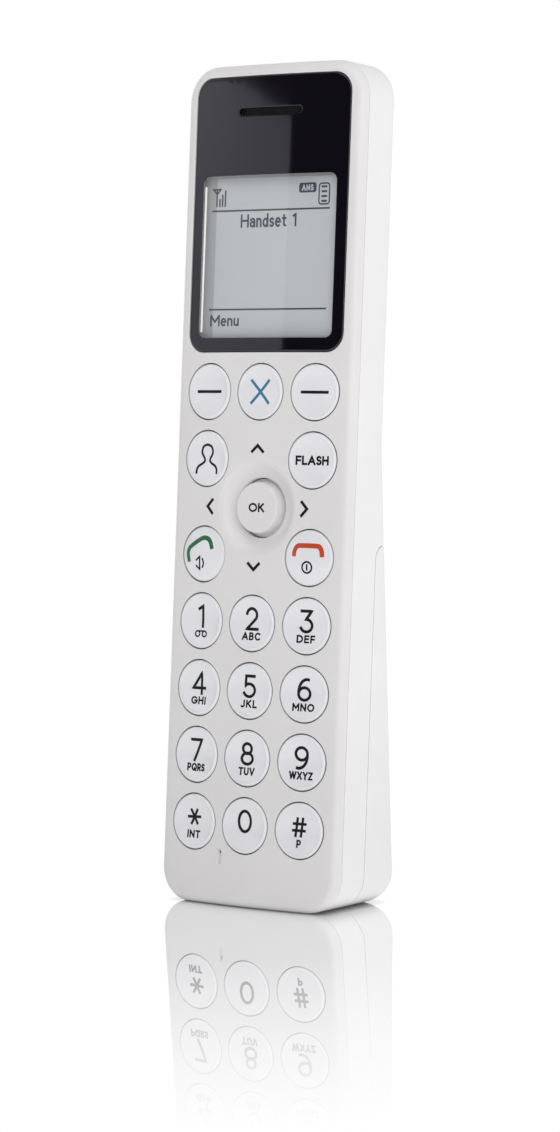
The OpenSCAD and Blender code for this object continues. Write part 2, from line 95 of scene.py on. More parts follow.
# Keys from the lowest row up, each row from the left
KEY_ROWS = ["star 0 hash", "7 8 9", "4 5 6", "1 2 3", "talk - end", "contacts - flash",
            "soft_left block soft_right"]
TALK_ROW = 4
# Column, row and face of each key
KEYS = {"key_" + name: (column - 1, row, "dome" if row == TALK_ROW else "dish")
        for row, names in enumerate(KEY_ROWS) for column, name in enumerate(names.split()) if name != "-"}

# ---- the handset's axes in the frame

JOINTS = {joint["name"]: joint for joint in frame["joints"]}
INWARD = Vector(JOINTS["key_5_press"]["axis"]).normalized()
ACROSS = Vector((1, 0, 0))
UP = ACROSS.cross(INWARD)
LEAN = atan2(-INWARD.z, INWARD.y)
ORIGIN = Vector(JOINTS["nav_tilt_up_down"]["pos_m"]) - (INWARD * NAV_PIVOT_Y + UP * NAV_Z) * MM


def standing(x, y, z):
    """A point of the handset, in millimetres, as the place it stands in, in metres."""
    return ORIGIN + (ACROSS * x + INWARD * y + UP * z) * MM


# ---- surfaces of the body


def face(x, z=0.0):
    """Depth of the curved front face, which is the same at every height."""
    return FACE_R - sqrt(FACE_R**2 - x * x)


def crest(z):
    """Depth of the back along its middle, straight above and sloping below, with a soft bend between."""
    soft = 0.35
    rise = FOOT_DEPTH - tan(BACK_SLOPE) * z - TOP_DEPTH
    if rise > soft:
        return TOP_DEPTH + rise
    if rise < -soft:
        return TOP_DEPTH
    return TOP_DEPTH + (rise + soft) ** 2 / (4 * soft)


def back(x, z):
    return crest(z) - BACK_R + sqrt(BACK_R**2 - x * x)


def square_foot(x, y, z):
    """Slants the foot end so that it stands flat on the floor."""
    return x, y, z + tan(LEAN) * y * max(0.0, 1 - z / SHEAR_H)


def oval(cx, cz, rx, rz, a, b, n):
    """Points along an ellipse from angle a to angle b, with both ends."""
    angles = [radians(a + (b - a) * i / n) for i in range(n + 1)]
    return [(cx + rx * cos(t), cz + rz * sin(t)) for t in angles]


def arc(cx, cz, r, a, b, n):
    return oval(cx, cz, r, r, a, b, n)


def circle(cx, cz, r, n=64):
    angles = [2 * pi * i / n for i in range(n)]
    return [(cx + r * cos(a), cz + r * sin(a)) for a in angles]


def stretch(a, b, step):
    """Points from a up to, and without, b."""
    n = max(1, round(dist(a, b) / step))
    return [(a[0] + (b[0] - a[0]) * i / n, a[1] + (b[1] - a[1]) * i / n) for i in range(n)]


def round_rect(w, h, z0, r, n=8, step=2.0, cx=0.0):
    """A closed loop of a rectangle with round corners, standing on z0."""
    x0, x1, z1 = cx - w / 2, cx + w / 2, z0 + h
    corners = [arc(x1 - r, z0 + r, r, -90, 0, n), arc(x1 - r, z1 - r, r, 0, 90, n),
               arc(x0 + r, z1 - r, r, 90, 180, n), arc(x0 + r, z0 + r, r, 180, 270, n)]
    loop = []
    for i, corner in enumerate(corners):
        loop += corner[:-1] + stretch(corner[-1], corners[(i + 1) % 4][0], step)
    return loop


def rect_of(w, h, z0, r, *rest):
    """A rectangle with round corners, as a function of how far its outline is grown."""
    return lambda grow: round_rect(w + 2 * grow, h + 2 * grow, z0 - grow, r + grow, *rest)


def slot(cx, cz, length, width, n=8):
    """A slot with round ends that lies along X."""
    r = width / 2
    half = length / 2 - r
    count = max(1, round(2 * half / 1.2))
    top = [(cx + half - 2 * half * i / count, cz + r) for i in range(1, count)]
    bottom = [(cx - half + 2 * half * i / count, cz - r) for i in range(1, count)]
    return arc(cx + half, cz, r, -90, 90, n) + top + arc(cx - half, cz, r, 90, 270, n) + bottom


def slot_of(cx, cz, length, width, n=8):
    """A slot, as a function of how far its outline is grown."""
    return lambda grow: slot(cx, cz, length + 2 * grow, width + 2 * grow, n)


def quarter(edge, steps):
    """A rounded edge in steps: each says what is left of it, and what is gone."""
    angles = [pi / 2 * i / steps for i in range(steps + 1)]
    return [(edge * (1 - sin(a)), edge * (1 - cos(a))) for a in angles]


OUTLINE_STEPS = 14


def outline(inset=0.0):
    """The handset's outline drawn in by inset, always with the same number of points."""
    base = round_rect(2 * HALF_W, BODY_H, 0.0, CORNER_R, OUTLINE_STEPS)
    return [(x + inset * nx, z + inset * nz) for (x, z), (nx, nz) in zip(base, outline_normals(base))]


def outline_normals(base):
    """Unit vectors from the outline towards the inside."""
    normals = []
    for x, z in base:
        cx = max(-HALF_W + CORNER_R, min(HALF_W - CORNER_R, x))
        cz = max(CORNER_R, min(BODY_H - CORNER_R, z))
        d = hypot(cx - x, cz - z)
        normals.append(((cx - x) / d, (cz - z) / d))
    return normals


# ---- building meshes


NEAREST = 0.55


def as_depth(depth):
    """A surface y = depth(x, z), also from one fixed depth."""
    return depth if callable(depth) else lambda x, z: depth


class Solid:
    """A closed mesh that is put together from loops of points."""

    def __init__(self):
        self.points = []
        self.faces = []
        self.kinds = []
        self.kind = 0

    def loop(self, points):
        start = len(self.points)
        self.points += points
        return list(range(start, len(self.points)))

    def lay(self, ring, depth, more=0.0):
        """A loop over the (x, z) points of a ring, on a surface or by more behind it."""
        at = as_depth(depth)
        return self.loop([(x, at(x, z) + more, z) for x, z in ring])

    def face(self, corners):
        self.faces.append(corners)
        self.kinds.append(self.kind)

    def bridge(self, a, b):
        for i in range(len(a)):
            j = (i + 1) % len(a)
            self.face((a[i], a[j], b[j], b[i]))

    def skin(self, loops):
        """Joins a list of loops in turn, and returns the last one."""
        for a, b in zip(loops, loops[1:]):
            self.bridge(a, b)
        return loops[-1]

    def tube(self, loops):
        """Joins loops in turn, and closes both ends."""
        self.skin(loops)
        self.face(tuple(loops[0]))
        self.face(tuple(loops[-1]))

    def cap(self, loop, middle):
        """Closes a round loop to one point."""
        centre = self.loop([middle])[0]
        for i in range(len(loop)):
            self.face((loop[i], loop[(i + 1) % len(loop)], centre))

    def fill(self, loops, depth, spacing=1.6, near=()):
        """Fills the space between an outer loop and its holes with a surface."""
        at = as_depth(depth)
        rings, edges, edge_points = [], [], []
        for loop in loops:
            start, n = len(edge_points), len(loop)
            edges += [(start + i, start + (i + 1) % n) for i in range(n)]
            edge_points += loop
            rings.append([(self.points[i][0], self.points[i][2]) for i in loop])
        flat = [p for ring in rings for p in ring]
        extra = [p for p, keep in zip(near, inside_all(near, rings)) if keep]
        halfway = [((a[0] + b[0]) / 2, (a[1] + b[1]) / 2)
                   for ring in rings for a, b in zip(ring, ring[1:] + ring[:1])]
        taken = flat + extra + halfway
        tree = kdtree.KDTree(len(taken))
        for i, (x, z) in enumerate(taken):
            tree.insert((x, z, 0), i)
        tree.balance()
        (low_x, low_z), (high_x, high_z) = ([pick(c) for c in zip(*flat)] for pick in (min, max))
        grid = []
        for row in range(ceil((high_z - low_z) / spacing) + 1):
            for column in range(ceil((high_x - low_x) / spacing) + 1):
                p = (low_x + (column + 0.5 * (row % 2)) * spacing, low_z + row * spacing)
                if tree.find((*p, 0))[2] > NEAREST * spacing:
                    grid.append(p)
        grid = [p for p, keep in zip(grid, inside_all(grid, rings)) if keep]
        coords = [Vector(p) for p in flat + extra + grid]
        made = geometry.delaunay_2d_cdt(coords, edges, [], 0, 1e-5)
        points, _, triangles, sources = made[:4]
        index = []
        for p, source in zip(points, sources):
            known = [s for s in source if s < len(flat)]
            if known:
                index.append(edge_points[known[0]])
            else:
                index.append(self.loop([(p.x, at(p.x, p.y), p.y)])[0])
        output_of = {s: i for i, source in enumerate(sources) for s in source}
        walls = {frozenset((output_of[a], output_of[b])) for a, b in edges}
        for triangle in enclosed(points, triangles, walls, rings):
            self.face(tuple(index[i] for i in triangle))


def enclosed(points, triangles, walls, rings):
    """The triangles inside the walls: the plain ones, and from there up to the walls, over slivers too."""
    beside = {}
    for t, corners in enumerate(triangles):
        for i, a in enumerate(corners):
            beside.setdefault(frozenset((a, corners[i - 1])), []).append(t)
    middles = [(sum(points[i].x for i in t) / 3, sum(points[i].y for i in t) / 3) for t in triangles]
    areas = [geometry.area_tri(*(points[i] for i in t)) for t in triangles]
    kept = {t for t, keep in enumerate(inside_all(middles, rings)) if keep and areas[t] > 1e-3}
    front = list(kept)
    while front:
        corners = triangles[front.pop()]
        for i, a in enumerate(corners):
            shared = frozenset((a, corners[i - 1]))
            if shared in walls:
                continue
            for t in beside[shared]:
                if t not in kept:
                    kept.add(t)
                    front.append(t)
    return [triangles[t] for t in sorted(kept)]


def inside_all(points, rings):
    """Which points lie inside the first ring and outside the others, by counting crossings."""
    if not points:
        return []
    p = np.array(points)
    odd = np.zeros(len(p), bool)
    for ring in rings:
        a = np.array(ring)
        b = np.roll(a, -1, axis=0)
        for (ax, az), (bx, bz) in zip(a, b):
            if az == bz:
                continue
            spans = (az > p[:, 1]) != (bz > p[:, 1])
            odd ^= spans & (p[:, 0] < (bx - ax) * (p[:, 1] - az) / (bz - az) + ax)
    return odd


def linked(name, data):
    """A new object in the scene."""
    thing = bpy.data.objects.new(name, data)
    bpy.context.collection.objects.link(thing)
    return thing


def mesh_of(name, solid, materials, shape):
    """A Solid as a mesh in the frame, with every face turned outwards."""
    mesh = bpy.data.meshes.new(name)
    mesh.from_pydata([standing(*shape(*p)) for p in solid.points], [], solid.faces)
    for material in materials:
        mesh.materials.append(material)
    for polygon, kind in zip(mesh.polygons, solid.kinds):
        polygon.material_index = kind
    work = bmesh.new()
    work.from_mesh(mesh)
    bmesh.ops.remove_doubles(work, verts=work.verts, dist=1e-7)
    bmesh.ops.recalc_face_normals(work, faces=work.faces)
    work.to_mesh(mesh)
    work.free()
    return mesh


def make_piece(name, solid, materials, body, replaces=(), sharp=32, shape=square_foot):
    """Turns a Solid into an object in the frame that rides on a body."""
    finish_piece(mesh_of(name, solid, materials, shape), name, body, replaces, sharp)


def finish_piece(mesh, name, body, replaces=(), sharp=32):
    mesh.shade_smooth()
    mesh.set_sharp_from_angle(angle=radians(sharp))
    piece = linked(name, mesh)
    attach(piece, body)
    if replaces:
        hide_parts(*replaces)


def as_is(x, y, z):
    return x, y, z


# ---- materials


class Nodes:
    """A node tree, with short ways to add to it."""

    def __init__(self, tree):
        self.tree = tree

    def feed(self, socket, value):
        """Links an output to a socket, or gives the socket a value."""
        if isinstance(value, bpy.types.NodeSocket):
            self.tree.links.new(value, socket)
        else:
            socket.default_value = value

    def add(self, kind, **inputs):
        node = self.tree.nodes.new(kind)
        for key, value in inputs.items():
            self.feed(node.inputs[key.replace("_", " ")], value)
        return node

    def math(self, operation, *values):
        node = self.add("ShaderNodeMath")
        node.operation = operation
        for socket, value in zip(node.inputs, values):
            self.feed(socket, value)
        return node.outputs[0]

    def remap(self, value, start, end, low=0.0, high=1.0, smooth=False):
        """A value that runs from low to high where the given one runs from start to end."""
        node = self.add("ShaderNodeMapRange", Value=value, From_Min=start, From_Max=end,
                        To_Min=low, To_Max=high)
        if smooth:
            node.interpolation_type = "SMOOTHSTEP"
        return node.outputs["Result"]

    def blend(self, factor, a, b):
        """Colour a where the factor is 0 and colour b where it is 1."""
        node = self.add("ShaderNodeMix")
        node.data_type = "RGBA"
        for socket, value in ((node.inputs["Factor"], factor), (node.inputs[6], a), (node.inputs[7], b)):
            self.feed(socket, value)
        return node.outputs[2]

    def place(self):
        """The place on the object."""
        return self.add("ShaderNodeTexCoord").outputs["Object"]

    def noise(self, size_mm, detail=2.0, stretch=(1, 1, 1)):
        """Noise with features of the given size, in object space."""
        mapping = self.add("ShaderNodeMapping", Vector=self.place(), Scale=stretch)
        return self.add("ShaderNodeTexNoise", Vector=mapping.outputs["Vector"], Scale=1 / (size_mm * MM),
                        Detail=detail).outputs["Fac"]

    def ramp(self, factor, colours):
        node = self.add("ShaderNodeValToRGB", Fac=factor)
        for element, position, colour in zip(node.color_ramp.elements, NOISE_SPAN, colours):
            element.position = position
            element.color = (*colour, 1)
        return node.outputs["Color"]


class Material(Nodes):
    """A new material, with short ways to feed its own shader."""

    def __init__(self, name, **settings):
        self.material = bpy.data.materials.new(name)
        self.material.use_nodes = True
        super().__init__(self.material.node_tree)
        self.shader = self.tree.nodes["Principled BSDF"]
        for key, value in settings.items():
            self.link(value, key.replace("_", " "))

    def link(self, value, key):
        self.feed(self.shader.inputs[key], value)

    def rough(self, noise, low, high):
        self.link(self.remap(noise, *NOISE_SPAN, low, high), "Roughness")

    def bump(self, height, distance_mm, strength=1.0):
        node = self.add("ShaderNodeBump", Height=height, Distance=distance_mm * MM, Strength=strength)
        self.link(node.outputs["Normal"], "Normal")

    def show(self, shader):
        """Shows another shader in place of the material's own."""
        self.feed(self.tree.nodes["Material Output"].inputs["Surface"], shader.outputs[0])
        self.tree.nodes.remove(self.shader)
        return self.material

    def under_gloss(self, base, share, roughness):
        """Shows a shader with a share of gloss over it."""
        gloss = self.add("ShaderNodeBsdfGlossy", Color=(1, 1, 1, 1), Roughness=roughness)
        mix = self.add("ShaderNodeMixShader", Fac=share)
        self.feed(mix.inputs[1], base.outputs[0])
        self.feed(mix.inputs[2], gloss.outputs[0])
        return self.show(mix)


NOISE_SPAN = (0.3, 0.7)


def moulded(name, colour, roughness, grain_mm=0.25, depth_mm=0.004, tone=0.02, **settings):
    """Moulded plastic: a fine grain, and a tone that drifts a little over the part."""
    m = Material(name, Roughness=roughness, **settings)
    light = [min(1.0, c * (1 + tone)) for c in colour]
    dark = [c * (1 - tone) for c in colour]
    m.link(m.ramp(m.noise(18.0), (dark, light)), "Base Color")
    m.rough(m.noise(3.0, 4.0), roughness * 0.9, roughness * 1.1)
    m.bump(m.noise(grain_mm, 3.0), depth_mm, 0.5)
    return m.material


def rgb(r, g, b):
    """A colour from 0 to 255 values, as light."""
    return tuple((c / 255 / 12.92) if c <= 10 else ((c / 255 + 0.055) / 1.055) ** 2.4 for c in (r, g, b))


SHELL = moulded("shell_grey", rgb(229, 227, 227), 0.38, Coat_Weight=0.0)
REAR = moulded("rear_grey", rgb(238, 237, 237), 0.42)
KEYCAP = moulded("key_cap", rgb(236, 236, 240), 0.16, 1.5, 0.002, 0.01, Coat_Weight=0.35,
                 Coat_Roughness=0.08)
OKCAP = moulded("ok_cap", rgb(229, 227, 227), 0.34)
BLACK = moulded("window_black", rgb(13, 11, 18), 0.05, 4.0, 0.001, 0.1, Coat_Weight=0.3,
                Coat_Roughness=0.03, Specular_Tint=(0.97, 0.94, 1.14, 1), Coat_Tint=(0.97, 0.95, 1.0, 1))
INK = moulded("ink_black", rgb(14, 13, 16), 0.5, 0.2, 0.001, 0.1, Specular_IOR_Level=0.25)
BLUE = moulded("ink_blue", rgb(48, 118, 158), 0.35, 0.2, 0.001, 0.05)
GREEN = moulded("ink_green", rgb(30, 104, 60), 0.35, 0.2, 0.001, 0.05)
RED = moulded("ink_red", rgb(200, 72, 36), 0.35, 0.2, 0.001, 0.05)
LCD_INK = moulded("lcd_ink", rgb(62, 66, 82), 0.5, 0.1, 0.001, 0.05,
                  Emission_Color=(0.1, 0.11, 0.16, 1), Emission_Strength=0.1)
# The white film glows by itself, a painted light: under the window it gets too little light to show white.
FILM_GLOW = moulded("film_white_glow", rgb(240, 240, 243), 0.4, Emission_Color=(1, 1, 1, 1),
               Emission_Strength=0.5)
# Dark grey for the key caps' sides below the rim: painted shade for the narrow gap round each key.
FLANK_SHADE = moulded("key_flank_shade", rgb(70, 70, 74), 0.5)


def pane_material():
    """A clear pane: see-through, with a gloss that grows towards grazing angles."""
    m = Material("window_clear")
    clear = m.add("ShaderNodeBsdfTransparent", Color=(0.985, 0.985, 0.985, 1))
    facing = m.add("ShaderNodeLayerWeight", Blend=0.5).outputs["Facing"]
    share = m.remap(m.math("POWER", facing, 5.0), 0.0, 1.0, STRAIGHT_GLOSS, 1.0)
    return m.under_gloss(clear, share, 0.02)


def clear_back_material():
    """The pane's rear surface, which only lets light through."""
    m = Material("window_clear_back")
    return m.show(m.add("ShaderNodeBsdfTransparent", Color=(1, 1, 1, 1)))


def lcd_material(name, low, high, glow):
    """The display's grey, with the faint grid of its picture elements, and a faint glow: partly its
    backlight, partly painted light in place of what the window holds back.
    """
    m = Material(name, Roughness=0.5, Emission_Color=(0.9, 0.95, 1.0, 1), Emission_Strength=glow)
    mapping = m.add("ShaderNodeMapping", Vector=m.place(), Rotation=(-LEAN, 0, 0))
    split = m.add("ShaderNodeSeparateXYZ", Vector=mapping.outputs["Vector"])
    turns = 2 * pi / (DOT * MM)
    waves = [m.math("SINE", m.math("MULTIPLY", split.outputs[axis], turns)) for axis in "XZ"]
    lines = [m.remap(wave, 0.9, 1.0) for wave in waves]
    tone = m.ramp(m.noise(30.0), (low, high))
    m.link(m.blend(m.math("MAXIMUM", *lines), tone, (*[c * 0.93 for c in low], 1)), "Base Color")
    return m.material


STRAIGHT_GLOSS = 0.043
DOT = 0.28
CLEAR = pane_material()
CLEAR_BACK = clear_back_material()
# Both display materials glow faintly: partly the backlight, partly painted light in place of what the window
# holds back.
LCD_FACE = lcd_material("lcd_face", rgb(192, 195, 198), rgb(196, 199, 202), 0.06)
# The glass border is darker than the picture area; part of that is painted shade from the window's edge over
# it.
LCD_BORDER_SHADED = lcd_material("lcd_border_shaded", rgb(170, 171, 174), rgb(174, 175, 178), 0.03)


# ---- shells


def edge_arc(sign, height, x, z, nx, nz, r, steps):
    """The round from the side wall onto a cap. sign is +1 for the back and -1 for the front."""
    cap_at = lambda d: sign * height(x + nx * d, z + nz * d)
    inward, ahead = r, 0.05
    # The place where the round meets the cap depends on the cap's slope there
    for _ in range(4):
        slope = (cap_at(inward + ahead) - cap_at(inward)) / ahead
        inward = r * (1 - sin(atan(slope)))
    tilt = atan(slope)
    centre = cap_at(inward) - r * cos(tilt)
    points = []
    for i in range(steps + 1):
        a = radians(180) + (tilt - radians(90)) * i / steps
        d = r + r * cos(a)
        points.append((x + nx * d, sign * (centre + r * sin(a)), z + nz * d))
    return points


def edge_arcs(sign, height, radius_of, steps, inset=0.0):
    """One arc for every point of the outline, from the side wall onto a cap."""
    places = zip(outline(inset), outline_normals(outline()))
    return [edge_arc(sign, height, x, z, nx, nz, radius_of(z), steps) for (x, z), (nx, nz) in places]


def loops_over(solid, arcs):
    """Loops round the outline, one for each step of the arcs."""
    return [solid.loop(ring) for ring in zip(*arcs)]


def between(low, high, t):
    return low + (high - low) * min(1.0, max(0.0, t))


def front_radius(z):
    return between(FOOT_EDGE_R, EDGE_R, z / CORNER_R)


def back_radius(z):
    return between(FOOT_BACK_R, BACK_EDGE_R, z / CORNER_R)


def hole_through(solid, ring, y_out, y_in, edge=0.15, steps=3):
    """A hole with a rounded mouth. ring(grow) is its outline. Returns the loops at its two ends."""
    loops = [solid.lay(ring(edge + FLAT_RIM), y_out)]
    loops += [solid.lay(ring(grow), y_out, dip) for grow, dip in quarter(edge, steps)]
    loops.append(solid.lay(ring(0.0), y_in))
    solid.skin(loops)
    return loops[0], loops[-1]


def under_face(depth):
    """A surface that lies behind the front face by a depth."""
    return lambda x, z: face(x) + depth


inner_face = under_face(FRONT_WALL)


def dish_rings(solid):
    """The navigation key's dish and the well in its middle."""
    rise = DISH_R - WELL_R
    profile = [(DISH_R + 0.55, 0.0), (DISH_R + 0.3, 0.03), (DISH_R + 0.08, 0.12), (DISH_R - 0.12, 0.28)]
    profile += [(DISH_R - rise * t, DISH_DEPTH * sin(pi / 2 * t))
                for t in (0.12, 0.22, 0.34, 0.48, 0.62, 0.76)]
    profile += [(WELL_R + 0.25, DISH_DEPTH - 0.02), (WELL_R + 0.1, DISH_DEPTH + 0.03),
                (WELL_R + 0.02, DISH_DEPTH + 0.12), (WELL_R, DISH_DEPTH + 0.3), (WELL_R, WELL_END)]
    rings = []
    for r, y in profile:
        share = max(0.0, (r - WELL_R) / rise)
        rings.append(solid.loop([(x, y + face(x) * share, z) for x, z in circle(0, NAV_Z, r, 96)]))
    solid.skin(rings)
    return rings[0], rings[-1]


def window_recess(solid):
    """The recess that the window lies in, with a ledge behind it."""
    seat = under_face(LEDGE_DEPTH)
    mouth, floor = hole_through(solid, WINDOW_RECESS, face, seat, 0.12)
    ring = round_rect(WINDOW_W - 2 * LEDGE, WINDOW_H - 2 * LEDGE, WINDOW_Z + LEDGE, WINDOW_R - LEDGE, 10)
    ledge = solid.lay(ring, seat)
    ledge_back = solid.lay(ring, inner_face)
    solid.fill([floor, ledge], seat, 3.0)
    solid.bridge(ledge, ledge_back)
    return mouth, ledge_back


def microphone_slot(solid):
    """A shallow groove with the sound hole at its upper end."""
    lying = slot_of(MIC_X, MIC_Z, MIC_L, MIC_W)
    upright = lambda grow: [(MIC_X + z - MIC_Z, MIC_Z + x - MIC_X) for x, z in lying(grow)]
    groove = under_face(MIC_GROOVE)
    mouth, floor = hole_through(solid, upright, face, groove, 0.12)
    sound_hole = circle(MIC_X, MIC_Z + 0.9, 0.3, 12)
    hole_front = solid.lay(sound_hole, groove)
    hole_back = solid.lay(sound_hole, inner_face)
    solid.fill([floor, hole_front], groove, 0.5)
    solid.bridge(hole_front, hole_back)
    return mouth, hole_back


FLAT_RIM = 0.12
LEDGE, LEDGE_DEPTH = 1.5, 1.1
WELL_END = 2.95
WINDOW_GAP = 0.12
WINDOW_RECESS = rect_of(WINDOW_W + 2 * WINDOW_GAP, WINDOW_H + 2 * WINDOW_GAP, WINDOW_Z - WINDOW_GAP,
                        WINDOW_R + WINDOW_GAP, 10)


def front_housing():
    solid = Solid()
    rim = FRONT_SEAM - SEAM_GAP
    rounds = loops_over(solid, edge_arcs(-1, face, front_radius, 6))
    lip = solid.lay(outline(0.1), rim)
    wall = solid.lay(outline(), rim - 0.1)
    outer = solid.skin([lip, wall] + rounds)
    inner_rim = solid.lay(outline(WALL), rim)
    solid.bridge(inner_rim, lip)
    inner = solid.lay(outline(WALL + 0.01), lambda x, z: min(rim - 0.05, inner_face(x, z)))
    solid.bridge(inner, inner_rim)
    holes, near = [(outer, inner)], []
    for column, row, _ in KEYS.values():
        cx, cz = column * COLUMN, ROWS[row]
        holes.append(hole_through(solid, lambda grow: circle(cx, cz, HOLE_R + grow), face, inner_face))
        near += circle(cx, cz, HOLE_R + 0.6)
    holes.append(dish_rings(solid))
    near += circle(0, NAV_Z, DISH_R + 1.0, 96)
    holes.append(window_recess(solid))
    near += WINDOW_RECESS(0.6)
    holes.append(microphone_slot(solid))
    fronts, backs = (list(ends) for ends in zip(*holes))
    solid.fill(fronts, face, 1.4, near)
    solid.fill(backs, inner_face, 3.0)
    make_piece("front_shell", solid, [SHELL], "handset", ["front_housing"])


front_housing()


# ---- rear shells


def rear_blank(offset, y0):
    """The rear of the body as one skin, drawn in by offset, from depth y0 backwards.

    Returns the solid, its front loop, the loop round its back, and the back's surface.
    """
    solid = Solid()
    base = outline(offset)
    height = lambda x, z: back(x, z) - offset
    outer = offset == 0
    front = solid.lay(outline(offset + 0.1), y0) if outer else None
    start = solid.lay(base, y0 + (0.1 if outer else 0))
    arcs = edge_arcs(1, height, lambda z: back_radius(z) - offset, 8, offset)
    loops = [start]
    lows = [points[0][1] for points in arcs]
    for t in (0.25, 0.5, 0.75):
        loops.append(solid.loop([(x, y0 + 0.1 + (low - y0 - 0.1) * t, z) for (x, z), low in zip(base, lows)]))
    last = solid.skin(loops + loops_over(solid, arcs))
    if outer:
        solid.bridge(front, start)
    return solid, front or start, last, height


def solid_object(name, solid, shape=square_foot):
    return linked(name, mesh_of(name, solid, [], shape))


def boolean(target, tool, operation):
    """Applies one boolean to a mesh object, and leaves no modifier."""
    modifier = target.modifiers.new("cut", "BOOLEAN")
    modifier.operation = operation
    modifier.solver = "MANIFOLD"
    modifier.object = tool
    graph = bpy.context.evaluated_depsgraph_get()
    mesh = bpy.data.meshes.new_from_object(target.evaluated_get(graph))
    target.modifiers.clear()
    target.data = mesh


def discard(*objects):
    for thing in objects:
        bpy.data.objects.remove(thing)


def on_back(x, y, z):
    """Turns a place measured along the sloping back, outwards from it, into the handset's axes."""
    c, s = cos(BACK_SLOPE), sin(BACK_SLOPE)
    return x, FOOT_DEPTH + y * c - z * s, y * s + z * c


def prism(name, ring, y0, y1, shape=as_is):
    """A straight block between two depths, as an object to cut with."""
    solid = Solid()
    solid.tube([solid.lay(ring, y) for y in (y0, y1)])
    return solid_object(name, solid, shape)


def side_block(name, side):
    """A block with the given outline as seen from the side, wider than the handset."""
    solid = Solid()
    solid.tube([solid.loop([(x, y, z) for y, z in side]) for x in (-FAR, FAR)])
    return solid_object(name, solid, as_is)


def cut_piece(source, name, body, replaces):
    """Makes the piece that is left of an object after its cuts."""
    mesh = source.data
    discard(source)
    mesh.name = name
    mesh.materials.clear()
    mesh.materials.append(REAR)
    finish_piece(mesh, name, body, replaces, 28)


def grip_grooves():
    """Five short grooves across the cover's upper end, which the thumb holds, with sloping sides."""
    solid = Solid()
    for i in range(5):
        half_w, z = 6.5 - 0.6 * i, 60.35 + 1.7 * i
        rings = [(0.9, 1.2), (0.42, 0.0), (0.3, -0.38), (0.18, -0.45)]
        solid.tube([solid.lay(slot(0, z, 2 * half_w + 2 * (g - 0.35), 2 * g), y) for g, y in rings])
    return solid_object("groove_tool", solid, on_back)


FAR = 40.0
BEHIND = 60.0
DECK_GAP = 1.85
DECK_FRONT, DECK_BACK = 9.3, 10.4
BAY_W, BAY_WALL, BAY_FLOOR = 12.6, 1.0, -12.65
BAY_LOW, BAY_TOP, BAY_RIM = 4.3, 55.7, -4.5
SPEAKER_Z, SPEAKER_R, SPEAKER_STEP = 132.0, 10.0, 2.6


def battery_deck():
    """What the cover hides: a deck with screw wells, and a step under the cover's top edge."""
    solid, front, last, height = rear_blank(DECK_GAP, DECK_FRONT)
    solid.fill([last], height, 3.0)
    solid.fill([front], DECK_FRONT, 3.0)
    deck = solid_object("deck_blank", solid)
    low, high = COVER_TOP - 1, COVER_TOP + 1.5
    step = side_block("deck_step", [(DECK_FRONT - 1, -9.0), (DECK_BACK, -9.0), (DECK_BACK, low),
                                    (BEHIND, low), (BEHIND, high), (DECK_FRONT - 1, high)])
    boolean(deck, step, "INTERSECT")
    opening = round_rect(2 * BAY_W - 1.0, BAY_TOP - BAY_LOW - 1.0, BAY_LOW + 0.5, 1.0, 4)
    cuts = [prism("bay_opening", opening, BAY_FLOOR - 2, 5.0, on_back)]
    for side in (-1, 1):
        well = circle(side * COLUMN / 2, (ROWS[3] + ROWS[4]) / 2, 2.15, 32)
        cuts.append(prism("screw_well", well, 8.0, 12.0))
    for cut in cuts:
        boolean(deck, cut, "DIFFERENCE")
    discard(step, *cuts)
    cut_piece(deck, "battery_deck", "handset", ())


def battery_tray():
    solid = Solid()
    ring = rect_of(2 * BAY_W, BAY_TOP - BAY_LOW, BAY_LOW, 1.5, 5)
    rim = 0.25
    profile = [(0.0, BAY_FLOOR - BAY_WALL), (0.0, BAY_RIM - rim), (-0.08, BAY_RIM - 0.08), (-rim, BAY_RIM),
               (rim - BAY_WALL, BAY_RIM), (0.08 - BAY_WALL, BAY_RIM - 0.08), (-BAY_WALL, BAY_RIM - rim),
               (-BAY_WALL, BAY_FLOOR)]
    solid.tube([solid.lay(ring(grow), y) for grow, y in profile])
    make_piece("battery_tray", solid, [REAR], "handset", (), 32, on_back)


def cover_zone(name, grow):
    """The space that the battery cover takes, grown by grow."""
    low, top, r = COVER_SEAM - grow, COVER_TOP + grow, 3.0
    corner = arc(low + r, top - r, r, 90, 180, 12)
    return side_block(name, [(low, -FAR), (BEHIND, -FAR), (BEHIND, top)] + corner)


